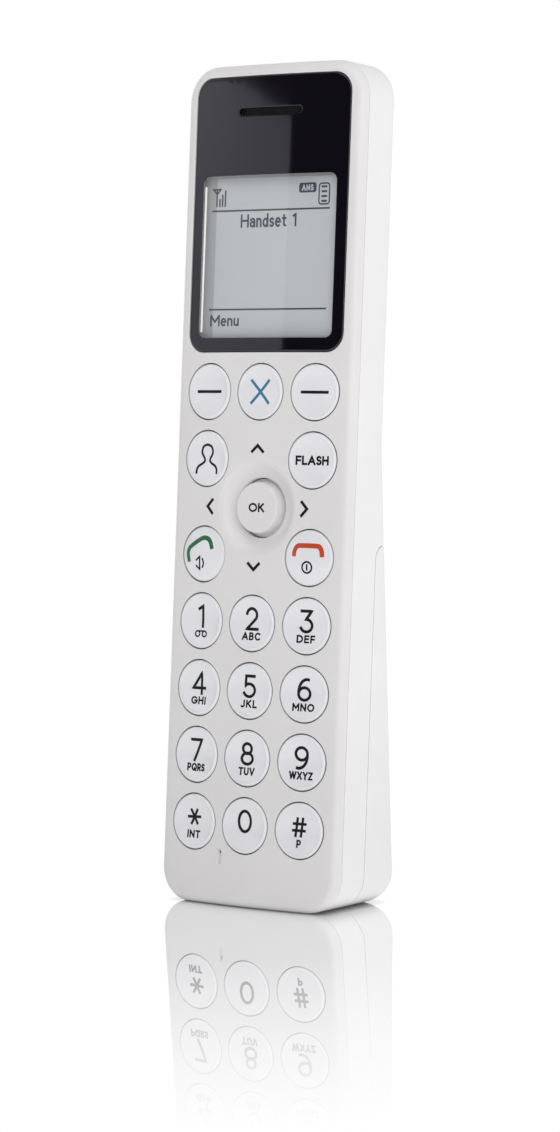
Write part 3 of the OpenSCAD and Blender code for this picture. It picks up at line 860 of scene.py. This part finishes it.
def rear_shells():
    """The rear housing and the battery cover, cut from one skin with the loudspeaker's slots in it."""
    solid, front, last, height = rear_blank(0.0, FRONT_SEAM + SEAM_GAP)
    inner_solid, inner_front, inner_last, inner_height = rear_blank(WALL, FRONT_SEAM + SEAM_GAP)
    backs, inner_backs, near = [last], [inner_last], []
    for i in range(-3, 4):
        up = i * SPEAKER_STEP
        ring = slot_of(0, SPEAKER_Z + up, 2 * sqrt(SPEAKER_R**2 - up**2) - 1, 1.1)
        near += ring(0.35)
        mouth = [solid.lay(ring(grow), height, -dip) for grow, dip in quarter(0.15, 3)]
        inner = solid.lay(ring(0.0), inner_height)
        solid.skin(mouth + [inner])
        backs.append(mouth[0])
        inner_backs.append(inner)
    solid.fill(backs, height, 1.6, near)
    # Inner skin joined to the outer one at the rim
    shift = len(solid.points)
    solid.points += inner_solid.points
    solid.faces += [tuple(i + shift for i in f) for f in inner_solid.faces]
    solid.kinds += inner_solid.kinds
    inner_backs[0] = [i + shift for i in inner_last]
    solid.fill(inner_backs, inner_height, 3.0)
    solid.bridge(front, [i + shift for i in inner_front])
    whole = solid_object("rear_whole", solid)
    cover = solid_object("cover_whole", solid)
    cuts = [(whole, cover_zone("zone_out", 0.0), "DIFFERENCE"),
            (cover, cover_zone("zone_in", -0.18), "INTERSECT"), (cover, grip_grooves(), "DIFFERENCE")]
    for target, tool, operation in cuts:
        boolean(target, tool, operation)
        discard(tool)
    cut_piece(whole, "rear_shell", "handset", ["rear_housing"])
    cut_piece(cover, "cover_shell", "battery_cover", ["battery_cover"])


rear_shells()
battery_deck()
battery_tray()


# ---- window and display


def window():
    """The black window in one piece, clear over the display."""
    solid = Solid()
    rear, front = under_face(0.9), under_face(0.04)
    ring = rect_of(WINDOW_W, WINDOW_H, WINDOW_Z, WINDOW_R, 10)
    edge = 0.35
    loops = [solid.lay(ring(0.0), rear)]
    loops += [solid.lay(ring(-inset), front, dip) for dip, inset in quarter(edge, 5)]
    solid.skin(loops)
    ear_slot = slot_of(0, SLOT_Z, SLOT_W, SLOT_H, 10)
    slot_front, slot_back = hole_through(solid, ear_slot, front, rear, 0.18, 4)
    view = rect_of(LCD_W, LCD_H, LCD_Z - LCD_H / 2, LCD_R, 8)
    view_front = solid.lay(view(0.0), front)
    view_rear = solid.lay(view(0.9), rear)
    solid.fill([loops[-1], slot_front, view_front], front, 1.6, ring(-edge - 0.3) + ear_slot(0.7))
    solid.fill([loops[0], slot_back, view_rear], rear, 3.0)
    solid.kind = 1
    solid.fill([view_front], front, 1.6)
    solid.kind = 2
    solid.fill([view_rear], rear, 1.6)
    make_piece("window_lens", solid, [BLACK, CLEAR, CLEAR_BACK], "handset", ["display_window"])


window()


def slab(name, ring, y0, y1, edge, material, replaces=()):
    """A flat slab with rounded front edges. ring(grow) is its outline."""
    solid = Solid()
    loops = [solid.lay(ring(0.0), y1)]
    loops += [solid.lay(ring(-inset), y0, dip) for dip, inset in quarter(edge, 3)]
    solid.tube(loops)
    make_piece(name, solid, [material], "handset", replaces)


LCD_DEPTH = 2.05
PICTURE_DEPTH = LCD_DEPTH - 0.03
LCD_BACK = LCD_DEPTH + 0.05


def lcd():
    """The display: its glass, the picture area on it, and the white film whose edge shows at the left, with a
    painted glow.
    """
    panel = rect_of(33.8, 33.2, LCD_Z - 16.6, 0.5, 3, 4)
    slab("lcd_glass_panel", panel, LCD_DEPTH, 3.3, 0.1, LCD_BORDER_SHADED, ["lcd_glass"])
    picture = rect_of(30.5, 31.9, 112.2, 0.3, 3, 4, 1.35)
    slab("lcd_picture_area", picture, PICTURE_DEPTH, LCD_BACK, 0.02, LCD_FACE)
    film = rect_of(0.42, 29.0, 113.6, 0.15, 3, 4, -16.72)
    slab("lcd_white_film", film, LCD_DEPTH - 0.06, LCD_BACK, 0.02, FILM_GLOW)


lcd()


# ---- keys


def revolve(solid, profile, n=64, dark_from=None):
    """Turns (radius, depth) points about the depth axis. From dark_from on, the second material is used,
    which on the key caps paints shade.
    """
    loops = [solid.lay(circle(0, 0, r, n), y) for r, y in profile]
    solid.cap(loops[0], (0, profile[0][1], 0))
    for i, (a, b) in enumerate(zip(loops, loops[1:])):
        solid.kind = int(dark_from is not None and i + 1 >= dark_from)
        solid.bridge(a, b)
    solid.cap(loops[-1], (0, profile[-1][1], 0))


def dish_depth(r):
    """Depth of a hollow key's face below the local face of the body."""
    middle = 0.30
    return middle - (middle + 0.02) * (r / 4.75) ** 2


def dome_depth(r):
    """Depth of a domed key's face. It stands proud in the middle."""
    return -0.38 + 0.42 * (r / 4.9) ** 2


KEY_FACES = {"dish": dish_depth, "dome": dome_depth}


def key_cap(name, column, row, form):
    """One key cap with its flange and plunger. Returns what takes a place on the cap to the handset."""
    depth = KEY_FACES[form]
    face_end = KEY_R - 0.72
    profile = [(r, depth(r)) for r in np.linspace(0.35, face_end, 14)]
    start = profile[-1][1]
    if form == "dish":
        profile += [(face_end + 0.12, start - 0.045), (face_end + 0.26, start - 0.07),
                    (face_end + 0.4, start - 0.06), (KEY_R - 0.2, start + 0.03),
                    (KEY_R - 0.07, start + 0.15), (KEY_R, start + 0.36)]
    else:
        profile += [(KEY_R - 0.5, start + 0.04), (KEY_R - 0.28, start + 0.1),
                    (KEY_R - 0.1, start + 0.24), (KEY_R, start + 0.45)]
    # Below this the cap's side takes the dark flank material: painted shade in the gap round the key.
    lit = len(profile)
    plunger_end = 4.3 - face(column * COLUMN) - 0.27 * abs(column)
    profile += [(KEY_R - 0.02, 1.0), (KEY_R - 0.04, 2.2), (KEY_R + 0.02, 2.31), (5.8, 2.34), (5.9, 2.4),
                (5.9, 2.7), (5.8, 2.76), (3.4, 2.78), (3.2, 2.84), (3.2, plunger_end)]
    solid = Solid()
    revolve(solid, profile, dark_from=lit)
    cx, cz = column * COLUMN, ROWS[row]
    tilt = asin(cx / FACE_R)
    c, s = cos(tilt), sin(tilt)
    place = lambda x, y, z: (cx + x * c - y * s, face(cx) + y * c + x * s, cz + z)
    make_piece(name + "_cap", solid, [KEYCAP, FLANK_SHADE], name, [name], 40, place)
    return place


key_places = {name: key_cap(name, *spec) for name, spec in KEYS.items()}


OK_FACE = 0.30


def on_ok(x, y, z):
    return x, y, z + NAV_Z


def ok_key():
    """The OK key: a flat cap on a tall side, with a thin skirt that closes the well."""
    solid = Solid()
    profile = [(r, OK_FACE) for r in np.linspace(0.4, 4.6, 8)]
    profile += [(4.78, OK_FACE + 0.02), (4.91, OK_FACE + 0.1), (4.97, OK_FACE + 0.24), (5.0, 0.9),
                (5.08, 1.6), (5.2, 2.4), (5.28, 2.75), (5.45, 2.94), (5.7, 2.98), (5.78, 3.04), (5.7, 3.12),
                (5.38, 3.15), (5.38, 3.3), (4.5, 3.3), (4.5, 1.5), (1.9, 1.5), (1.9, 3.05)]
    revolve(solid, profile)
    make_piece("ok_key_cap", solid, [OKCAP], "ok_key", ["ok_key"], 40, on_ok)


ok_key()

# ---- legends


def line(*points):
    """A path through points, with a point at least every 0.07 of a letter's height."""
    path = []
    for a, b in zip(points, points[1:]):
        path += stretch(a, b, 0.07)
    return path + [points[-1]]


def bow(cx, cz, rx, rz, a=0, b=360):
    """A path along an ellipse, from angle a to angle b."""
    return oval(cx, cz, rx, rz, a, b, max(4, round(abs(b - a) / 9)))


def spoke(a):
    """One stroke of the star sign."""
    x, z = 0.36 * cos(radians(a)), 0.36 * sin(radians(a))
    return line((0.35 - x, 0.62 - z), (0.35 + x, 0.62 + z))


def turned(path, w):
    return [(w - x, 1 - z) for x, z in path]


SIX = [bow(0.35, 0.3, 0.33, 0.3), bow(0.5, 0.36, 0.48, 0.64, 186, 80)]

# Width and strokes of each sign, in a box one unit high
GLYPHS = {
    "0": (0.74, [bow(0.37, 0.5, 0.36, 0.5)]),
    "1": (0.3, [line((0, 0.86), (0.24, 1), (0.24, 0))]),
    "2": (0.68, [bow(0.33, 0.69, 0.3, 0.31, 168, -28) + line((0.56, 0.5), (0.04, 0), (0.68, 0))]),
    "3": (0.68, [line((0.06, 1), (0.62, 1), (0.3, 0.6)) + bow(0.32, 0.3, 0.33, 0.3, 84, -155)]),
    "4": (0.76, [line((0.55, 0), (0.55, 1), (0.0, 0.26), (0.76, 0.26))]),
    "5": (0.66, [line((0.62, 1), (0.12, 1), (0.08, 0.52)) + bow(0.3, 0.31, 0.34, 0.31, 118, -152)]),
    "6": (0.68, SIX),
    "7": (0.64, [line((0, 1), (0.64, 1), (0.18, 0))]),
    "8": (0.68, [bow(0.34, 0.755, 0.26, 0.245), bow(0.34, 0.27, 0.33, 0.27)]),
    "9": (0.68, [turned(path, 0.68) for path in SIX]),
    "*": (0.7, [spoke(a) for a in (2, 62, 122)]),
    "#": (0.72, [line((0.16, 0.05), (0.26, 0.87)), line((0.46, 0.05), (0.56, 0.87)),
                 line((0.02, 0.3), (0.66, 0.3)), line((0.06, 0.62), (0.7, 0.62))]),
    "A": (0.86, [line((0, 0), (0.43, 1), (0.86, 0)), line((0.17, 0.32), (0.69, 0.32))]),
    "B": (0.64, [line((0.3, 1), (0, 1), (0, 0), (0.33, 0)) + bow(0.33, 0.27, 0.3, 0.27, -90, 90)
                 + line((0.3, 0.54), (0.02, 0.54)), bow(0.3, 0.77, 0.27, 0.23, -90, 90)]),
    "C": (0.84, [bow(0.48, 0.5, 0.48, 0.5, 48, 312)]),
    "D": (0.78, [line((0.3, 1), (0, 1), (0, 0), (0.3, 0)) + bow(0.3, 0.5, 0.48, 0.5, -90, 90)]),
    "E": (0.56, [line((0.56, 1), (0, 1), (0, 0), (0.56, 0)), line((0, 0.52), (0.5, 0.52))]),
    "F": (0.54, [line((0.54, 1), (0, 1), (0, 0)), line((0, 0.5), (0.48, 0.5))]),
    "G": (0.9, [bow(0.48, 0.5, 0.48, 0.5, 48, 360) + line((0.94, 0.46), (0.56, 0.46))]),
    "H": (0.74, [line((0, 0), (0, 1)), line((0.74, 0), (0.74, 1)), line((0, 0.52), (0.74, 0.52))]),
    "I": (0.0, [line((0, 0), (0, 1))]),
    "J": (0.42, [line((0.42, 1), (0.42, 0.28)) + bow(0.18, 0.26, 0.24, 0.26, 0, -140)]),
    "K": (0.66, [line((0, 0), (0, 1)), line((0.6, 1), (0.04, 0.42)), line((0.22, 0.56), (0.66, 0))]),
    "L": (0.5, [line((0, 1), (0, 0), (0.5, 0))]),
    "M": (0.9, [line((0, 0), (0, 1), (0.45, 0.36), (0.9, 1), (0.9, 0))]),
    "N": (0.76, [line((0, 0), (0, 1), (0.76, 0), (0.76, 1))]),
    "O": (1.0, [bow(0.5, 0.5, 0.5, 0.5)]),
    "P": (0.6, [line((0, 0), (0, 1), (0.32, 1)) + bow(0.32, 0.7, 0.28, 0.3, 90, -90)
                + line((0.3, 0.4), (0.02, 0.4))]),
    "Q": (1.0, [bow(0.5, 0.5, 0.5, 0.5), line((0.56, 0.3), (0.94, -0.04))]),
    "R": (0.62, [line((0, 0), (0, 1), (0.32, 1)) + bow(0.32, 0.71, 0.28, 0.29, 90, -90)
                 + line((0.3, 0.42), (0.02, 0.42)), line((0.3, 0.42), (0.62, 0))]),
    "S": (0.56, [bow(0.29, 0.75, 0.26, 0.25, 40, 262) + bow(0.28, 0.26, 0.28, 0.26, 82, -145)]),
    "T": (0.7, [line((0, 1), (0.7, 1)), line((0.35, 1), (0.35, 0))]),
    "U": (0.72, [line((0, 1), (0, 0.36)) + bow(0.36, 0.36, 0.36, 0.36, 180, 360)
                 + line((0.72, 0.38), (0.72, 1))]),
    "V": (0.82, [line((0, 1), (0.41, 0), (0.82, 1))]),
    "W": (1.2, [line((0, 1), (0.3, 0), (0.6, 1), (0.9, 0), (1.2, 1))]),
    "X": (0.76, [line((0.02, 0), (0.74, 1)), line((0, 1), (0.76, 0))]),
    "Y": (0.76, [line((0, 1), (0.38, 0.45), (0.76, 1)), line((0.38, 0.45), (0.38, 0))]),
    "Z": (0.66, [line((0, 1), (0.66, 1), (0, 0), (0.66, 0))]),
    "a": (0.44, [bow(0.2, 0.2, 0.2, 0.2), bow(0.22, 0.48, 0.22, 0.2, 150, 0) + line((0.44, 0.3), (0.44, 0))]),
    "d": (0.46, [bow(0.22, 0.33, 0.22, 0.33), line((0.46, 0), (0.46, 1.04))]),
    "e": (0.46, [line((0.02, 0.36), (0.46, 0.36)) + bow(0.23, 0.33, 0.23, 0.35, 30, 305)]),
    "n": (0.42, [line((0, 0), (0, 0.66)), bow(0.21, 0.42, 0.21, 0.25, 165, 0)
                 + line((0.42, 0.3), (0.42, 0))]),
    "s": (0.36, [bow(0.18, 0.5, 0.17, 0.17, 40, 270) + bow(0.18, 0.16, 0.18, 0.17, 90, -140)]),
    "t": (0.32, [line((0.14, 0.92), (0.14, 0.2)) + bow(0.28, 0.16, 0.14, 0.15, 200, 280),
                 line((0, 0.66), (0.32, 0.66))]),
    "u": (0.42, [line((0, 0.66), (0, 0.3)) + bow(0.21, 0.24, 0.21, 0.25, 180, 345),
                 line((0.42, 0.66), (0.42, 0))]),
}


def letters(text, height, gap, width=None, cx=0.0, z0=0.0):
    """Strokes of a word in millimetres, centred on cx, standing on z0, and squeezed to a given width."""
    paths = []
    x = 0.0
    for letter in text:
        w, strokes = GLYPHS[letter]
        paths += [[(x + px, pz) for px, pz in path] for path in strokes]
        x += w + gap
    total = (x - gap) * height
    squeeze = width / total if width else 1.0
    return [[(cx + (px * height - total / 2) * squeeze, z0 + pz * height) for px, pz in path]
            for path in paths]


LIFT = 0.02
SINK = 0.03


def beyond(a, b, reach):
    """The point past b on the way from a."""
    d = dist(a, b)
    return b[0] + (b[0] - a[0]) * reach / d, b[1] + (b[1] - a[1]) * reach / d


def ribbon(solid, path, width, depth, lift):
    """A thin raised band along a path on a surface."""
    at = as_depth(depth)
    closed = dist(path[0], path[-1]) < 1e-6
    if closed:
        path = path[:-1]
    path = [p for i, p in enumerate(path) if i == 0 or dist(p, path[i - 1]) > 1e-6]
    if not closed:
        path[0], path[-1] = beyond(path[1], path[0], width / 2), beyond(path[-2], path[-1], width / 2)
    stops = path + path[:1] if closed else path
    ways = [atan2(b[1] - a[1], b[0] - a[0]) for a, b in zip(stops, stops[1:])]
    loops = []
    for i, (x, z) in enumerate(path):
        into = ways[i - 1] if i or closed else ways[0]
        onward = ways[min(i, len(ways) - 1)]
        bend = (onward - into + pi) % (2 * pi) - pi
        side = into + bend / 2 + pi / 2
        reach = min(1.8, 1 / max(0.2, cos(bend / 2))) * width / 2
        right = (x - reach * cos(side), z - reach * sin(side))
        left = (x + reach * cos(side), z + reach * sin(side))
        corners = ((right, -lift), (left, -lift), (left, SINK), (right, SINK))
        loops.append(solid.loop([(px, at(px, pz) + dy, pz) for (px, pz), dy in corners]))
    if closed:
        solid.skin(loops + loops[:1])
    else:
        solid.tube(loops)


def printed(name, paths, width, depth, material, body, place=as_is):
    """A legend: thin bands of ink along paths, each a hair higher than the last, so crossings stay clean."""
    solid = Solid()
    for i, path in enumerate(paths):
        ribbon(solid, path, width, depth, LIFT + 0.002 * i)
    make_piece(name, solid, [material], body, (), 40, place)


def key_surface(name):
    form = KEYS[name][2]
    return lambda x, z: KEY_FACES[form](hypot(x, z))


NUMERAL_H, LETTER_H = 4.05, 1.22
NUMERAL_W, LETTER_W = 0.6, 0.35
DIGIT_Z, SUB_Z = -1.12, -3.15
DIGITS = {"key_" + digit: digit for digit in "0123456789"}
# Word under each sign, and its width
SUBS = {"key_2": ("ABC", 4.2), "key_3": ("DEF", 3.9), "key_4": ("GHI", 3.5), "key_5": ("JKL", 3.65),
        "key_6": ("MNO", 4.7), "key_7": ("PQRS", 4.3), "key_8": ("TUV", 3.6), "key_9": ("WXYZ", 5.1),
        "key_star": ("INT", 3.05), "key_hash": ("P", 0.7)}
# Left half of the person's outline, from the foot up
PERSON = [(-2.68, -2.85), (-2.6, -2.1), (-2.1, -1.45), (-1.15, -0.95), (-0.68, -0.45), (-0.84, 0.15),
          (-1.26, 0.75), (-1.42, 1.45), (-1.05, 2.35), (0.0, 2.74)]
# The handset signs, from left to right
HANDSET_UP = [(-3.67, -1.25), (-3.92, 0.0), (-3.7, 0.9), (-2.9, 1.6), (-1.2, 2.6), (0.2, 3.2), (1.35, 3.05),
              (2.05, 2.35), (2.4, 1.45)]
HANDSET_DOWN = [(-3.2, 0.7), (-3.1, 1.35), (-2.7, 2.05), (-1.9, 2.35), (1.9, 2.35), (2.7, 2.05),
                (3.1, 1.35), (3.2, 0.7)]


def legend(key, part, paths, width, material=INK):
    printed(key + "_" + part, paths, width, key_surface(key), material, key, key_places[key])


def key_legends():
    for key, digit in DIGITS.items():
        legend(key, "digit", letters(digit, NUMERAL_H, 0, z0=DIGIT_Z), NUMERAL_W)
    for key, (word, width) in SUBS.items():
        legend(key, "letters", letters(word, LETTER_H, 0.44, width, z0=SUB_Z), LETTER_W)
    legend("key_star", "sign", letters("*", 4.2, 0, z0=-1.7), 0.56)
    legend("key_hash", "sign", letters("#", 4.1, 0, z0=-1.2), 0.54)
    reels = [bow(x, 0.0, 0.55, 0.55, 90, 450) for x in (-0.9, 0.9)] + [line((-0.9, 0.55), (0.9, 0.55))]
    legend("key_1", "reels", [[(x, z - 2.6) for x, z in path] for path in reels], 0.32)
    for key in ("key_soft_left", "key_soft_right"):
        legend(key, "bar", [line((-2.9, 0), (2.9, 0))], 0.58)
    cross = [line((-2.05, -2.15), (2.05, 2.15)), line((-2.05, 2.15), (2.05, -2.15))]
    legend("key_block", "cross", cross, 0.58, BLUE)
    legend("key_flash", "word", letters("FLASH", 1.42, 0.34, 7.2, z0=-0.72), 0.42)
    legend("key_contacts", "person", [smooth_path(PERSON + [(-x, z) for x, z in PERSON[-2::-1]])], 0.48)
    legend("key_talk", "arc", [smooth_path(HANDSET_UP)], 0.9, GREEN)
    legend("key_end", "arc", [smooth_path(HANDSET_DOWN)], 0.95, RED)
    power = [bow(-0.1, -1.86, 1.08, 1.08, 90, 450), line((-0.1, -2.3), (-0.1, -1.4))]
    legend("key_end", "power", power, 0.36)
    horn = [line((-1.5, -1.25), (-0.6, -0.55), (-0.6, -3.1), (-1.5, -2.4)),
            bow(-0.9, -1.82, 1.3, 1.3, -38, 38)]
    legend("key_talk", "speaker", horn, 0.36)


def curve(a, b, c, d, t):
    """The Catmull-Rom value between b and c."""
    return 0.5 * (2 * b + (c - a) * t + (2 * a - 5 * b + 4 * c - d) * t * t + (3 * b - a - 3 * c + d) * t**3)


def smooth_path(points):
    """A smooth curve through points."""
    ends = [points[0]] + points + [points[-1]]
    path = []
    for i in range(1, len(ends) - 2):
        for k in range(8):
            path.append(tuple(curve(*values, k / 8) for values in zip(*ends[i - 1:i + 3])))
    return path + [points[-1]]


key_legends()


def body_legends():
    """Chevrons round the navigation dish, and the word on its key."""
    chevron = line((11.05, -1.3), (12.25, 0.0), (11.05, 1.3))
    marks = []
    for quarter_turn in range(4):
        a = quarter_turn * pi / 2
        c, s = cos(a), sin(a)
        marks.append([(x * c - z * s, NAV_Z + x * s + z * c) for x, z in chevron])
    printed("nav_chevrons", marks, 0.6, face, INK, "handset")
    word = letters("OK", 1.42, 0.34, 3.45, z0=-0.7)
    printed("ok_key_word", word, 0.38, OK_FACE, INK, "ok_key", on_ok)


body_legends()


def pip():
    """The raised dot that a finger finds on the 5 key."""
    solid = Solid()
    revolve(solid, [(0.06, -0.34), (0.16, -0.32), (0.28, -0.24), (0.37, -0.1), (0.42, 0.12)], 24)
    place, low = key_places["key_5"], 4.4
    at = dish_depth(low)
    shape = lambda x, y, z: place(x, y + at, z - low)
    make_piece("key_5_pip", solid, [KEYCAP], "key_5", (), 40, shape)


pip()


def ink(name, paths, width):
    """One mark on the display."""
    printed(name, paths, width, PICTURE_DEPTH, LCD_INK, "handset")


def lcd_marks():
    """What the display shows: two rules, a mast, signal bars, a battery, a small badge and two words."""
    ink("lcd_rules", [line((-14.8, z), (13.8, z)) for z in (137.7, 118.1)], 0.34)
    mast = [line((-13.9, 138.7), (-13.9, 142.0)), line((-14.85, 142.0), (-12.95, 142.0)),
            line((-14.75, 142.0), (-13.9, 141.0), (-13.05, 142.0))]
    ink("lcd_mast", mast, 0.34)
    bars = [(-13.15 + 0.68 * i, 139.95 + 0.85 * i) for i in range(3)]
    ink("lcd_signal", [line((x, 138.7), (x, top)) for x, top in bars], 0.36)
    case = round_rect(2.5, 4.06, 138.5, 0.55, 4, 1.0, 12.55)
    cells = [line((12.1, 139.1 + 0.94 * i), (13.0, 139.1 + 0.94 * i)) for i in range(4)]
    ink("lcd_battery", [case + case[:1]], 0.3)
    ink("lcd_battery_cells", cells, 0.42)
    badge_depth = LCD_DEPTH - 0.05
    badge = rect_of(4.2, 1.95, 140.85, 0.5, 4, 1.0, 8.5)
    slab("lcd_badge", badge, badge_depth, LCD_DEPTH, 0.01, LCD_INK)
    word = letters("ANS", 0.95, 0.5, 2.6, 8.5, 141.35)
    printed("lcd_badge_letters", word, 0.26, badge_depth, LCD_FACE, "handset")
    ink("lcd_line", letters("Handset", 2.2, 0.3, 10.9, -2.1, 134.5), 0.42)
    ink("lcd_line_number", letters("1", 2.2, 0, None, 5.6, 134.5), 0.42)
    ink("lcd_menu", letters("Menu", 1.85, 0.28, 6.8, -10.95, 115.0), 0.4)


lcd_marks()

# ---- inside parts kept from the CAD


def metal(name, low, high, roughness=0.3):
    """Bare metal with fine brushing and faint stains."""
    m = Material(name, Metallic=1.0)
    m.link(m.ramp(m.noise(9.0, 4.0), (low, high)), "Base Color")
    m.rough(m.noise(2.0, 4.0), roughness * 0.8, roughness * 1.3)
    m.bump(m.noise(0.4, 2.0, (1, 1, 0.1)), 0.004)
    return m.material


def fibreglass():
    """A circuit board: green lacquer over a fine weave."""
    m = Material("board_lacquer", Roughness=0.35, Coat_Weight=0.3)
    m.link(m.ramp(m.noise(8.0, 4.0), (rgb(26, 92, 58), rgb(34, 108, 70))), "Base Color")
    weave = m.add("ShaderNodeTexWave", Vector=m.place(), Scale=900.0, Distortion=1.5)
    m.bump(weave.outputs["Fac"], 0.01)
    return m.material


def woven():
    """Fine dust mesh over a sound opening."""
    m = Material("dust_mesh", Roughness=0.8)
    cells = m.add("ShaderNodeTexVoronoi", Vector=m.place(), Scale=2500.0)
    m.link(m.ramp(cells.outputs["Distance"], (rgb(6, 6, 8), rgb(24, 24, 28))), "Base Color")
    m.bump(cells.outputs["Distance"], 0.1)
    return m.material


def sleeve():
    """A cell's printed wrap: plain green, and light towards its upper end."""
    m = Material("battery_sleeve", Roughness=0.3, Coat_Weight=0.4)
    height = m.add("ShaderNodeSeparateXYZ", Vector=m.place()).outputs["Z"]
    green = m.ramp(m.noise(6.0), (rgb(52, 112, 74), rgb(60, 124, 84)))
    light = m.ramp(m.noise(6.0), (rgb(205, 208, 204), rgb(216, 218, 214)))
    m.link(m.blend(m.remap(height, 0.0395, 0.04), green, light), "Base Color")
    m.bump(m.noise(0.8), 0.01)
    return m.material


STEEL = metal("bright_steel", rgb(178, 180, 184), rgb(200, 202, 206))
GOLD = metal("contact_gold", rgb(206, 170, 92), rgb(224, 190, 112), 0.22)
TAPE = moulded("tape_black", rgb(24, 24, 26), 0.6, 0.5, 0.004, 0.15)
CHIP = moulded("chip_black", rgb(30, 30, 33), 0.55, 0.3, 0.004, 0.1)
INNER_WHITE = moulded("inner_white", rgb(222, 223, 226), 0.45)
SLEEVE = sleeve()
MESH_BLACK = woven()

# The CAD parts that are shown as they are, by material
KEPT = {
    TAPE: "window_tape receiver_gasket loudspeaker_gasket microphone_boot",
    INNER_WHITE: "lcd_backlight nav_switch_ring nav_switch_stem",
    STEEL: "receiver loudspeaker microphone key_domes rf_shield battery_springs housing_screws",
    GOLD: "antenna battery_plates charging_contacts",
    CHIP: "board_chips nav_switch_base",
    SLEEVE: "battery_cell_left battery_cell_right",
    MESH_BLACK: "receiver_mesh",
    fibreglass(): "main_board",
    moulded("flex_amber", rgb(176, 112, 44), 0.3): "lcd_flex",
    moulded("keymat_rubber", rgb(196, 198, 202), 0.7, 0.4, 0.006): "keymat",
    moulded("lamp_lens", rgb(232, 228, 200), 0.2): "board_leds",
}


def dress_kept_parts():
    material_of = {node: material for material, nodes in KEPT.items() for node in nodes.split()}
    for node, piece in frame["nodes"].items():
        if piece.hide_render:
            continue
        if not piece.material_slots:
            piece.data.materials.append(material_of[node])
        for slot in piece.material_slots:
            slot.material = material_of[node]


dress_kept_parts()

# ---- stage, light and camera


def stage_material():
    """A white glossy floor that mirrors the handset where it stands, less and less farther away, and glows
    less close to its foot: a painted contact shadow.
    """
    m = Material("floor_white")
    # Painted contact shadow: ambient occlusion dims the floor's glow close to the handset.
    contact_shade = m.add("ShaderNodeAmbientOcclusion", Distance=0.002).outputs["AO"]
    white = m.add("ShaderNodeEmission", Color=(1, 1, 1, 1), Strength=contact_shade)
    distance = m.add("ShaderNodeVectorMath", Vector=m.place())
    distance.operation = "LENGTH"
    near = m.remap(distance.outputs["Value"], MIRROR_NEAR, MIRROR_FAR, MIRROR_SHARE, 0.0)
    facing = m.add("ShaderNodeLayerWeight", Blend=0.5).outputs["Facing"]
    return m.under_gloss(white, m.math("MULTIPLY", near, m.math("POWER", facing, 3.0)), 0.0)


MIRROR_NEAR, MIRROR_FAR, MIRROR_SHARE = 0.07, 0.21, 1.21


def floor():
    mesh = bpy.data.meshes.new("floor")
    half = 6.0
    corners = [(-half, -half, 0), (half, -half, 0), (half, half, 0), (-half, half, 0)]
    mesh.from_pydata(corners, [], [(0, 1, 2, 3)])
    mesh.materials.append(stage_material())
    plane = linked("floor", mesh)


floor()


def world_light():
    """A white studio: bright behind the handset, dim in front of it, with a soft glow high on the left."""
    world = bpy.data.worlds.new("studio")
    bpy.context.scene.world = world
    world.use_nodes = True
    n = Nodes(world.node_tree)
    way = n.add("ShaderNodeSeparateXYZ", Vector=n.add("ShaderNodeTexCoord").outputs["Generated"]).outputs
    fade = lambda axis, start, end, low, high: n.remap(way[axis], start, end, low, high, True)
    behind = n.math("MULTIPLY", fade("Y", -0.55, 0.1, 0.03, 1.0), fade("Z", 0.2, 0.45, 1.0, 0.62))
    glow = n.math("MULTIPLY", fade("X", -0.56, -0.82, 0.0, 0.8), fade("Z", 0.1, 0.26, 0.0, 1.0))
    seen = n.add("ShaderNodeLightPath").outputs["Is Camera Ray"]
    strength = n.add("ShaderNodeMix", Factor=seen, A=n.math("MAXIMUM", behind, glow), B=1.0)
    background = world.node_tree.nodes["Background"].inputs
    n.feed(background["Strength"], strength.outputs["Result"])
    background["Color"].default_value = (1, 1, 1, 1)


world_light()


def area_light(name, azimuth, elevation, distance, width, height, radiance, aim=(0, 0, 0.09)):
    """A soft box that faces the handset. Azimuth 0 is in front of it, and positive is to its right."""
    data = bpy.data.lights.new(name, "AREA")
    data.shape = "RECTANGLE"
    data.size, data.size_y = width, height
    data.energy = radiance * pi * width * height
    lamp = linked(name, data)
    a, e = radians(azimuth), radians(elevation)
    offset = Vector((sin(a) * cos(e), -cos(a) * cos(e), sin(e))) * distance
    lamp.location = Vector(aim) + offset
    lamp.rotation_euler = offset.to_track_quat("Z", "Y").to_euler()


area_light("card_left", -46, 0, 2.5, 1.1, 0.49, 0.75, (0, 0, 0.376))
area_light("top_box", 10, 60, 1.0, 1.0, 1.0, 1.2)
area_light("right_box", 52, 20, 1.0, 0.6, 1.0, 2.0)

CAMERA_PLACE = (441.06, -579.77, 72.24)
CAMERA_YAW, CAMERA_PITCH, CAMERA_ROLL = radians(36.85), radians(-0.364), radians(2.069)
FOCAL_MM = 117.8


def camera():
    data = bpy.data.cameras.new("camera")
    data.lens = FOCAL_MM
    data.sensor_width = 36.0
    turns = ((CAMERA_ROLL, "Y"), (-CAMERA_PITCH, "X"), (-CAMERA_YAW, "Z"))
    roll, nod, turn = (Matrix.Rotation(angle, 3, axis) for angle, axis in turns)
    right, ahead, above = roll @ nod @ turn
    axes = Matrix((ACROSS, INWARD, UP)).transposed()
    rotation = axes @ Matrix((right, above, -ahead)).transposed()
    view = linked("camera", data)
    view.matrix_world = Matrix.Translation(standing(*CAMERA_PLACE)) @ rotation.to_4x4()
    bpy.context.scene.camera = view


camera()
bpy.context.scene.view_settings.view_transform = "Standard"
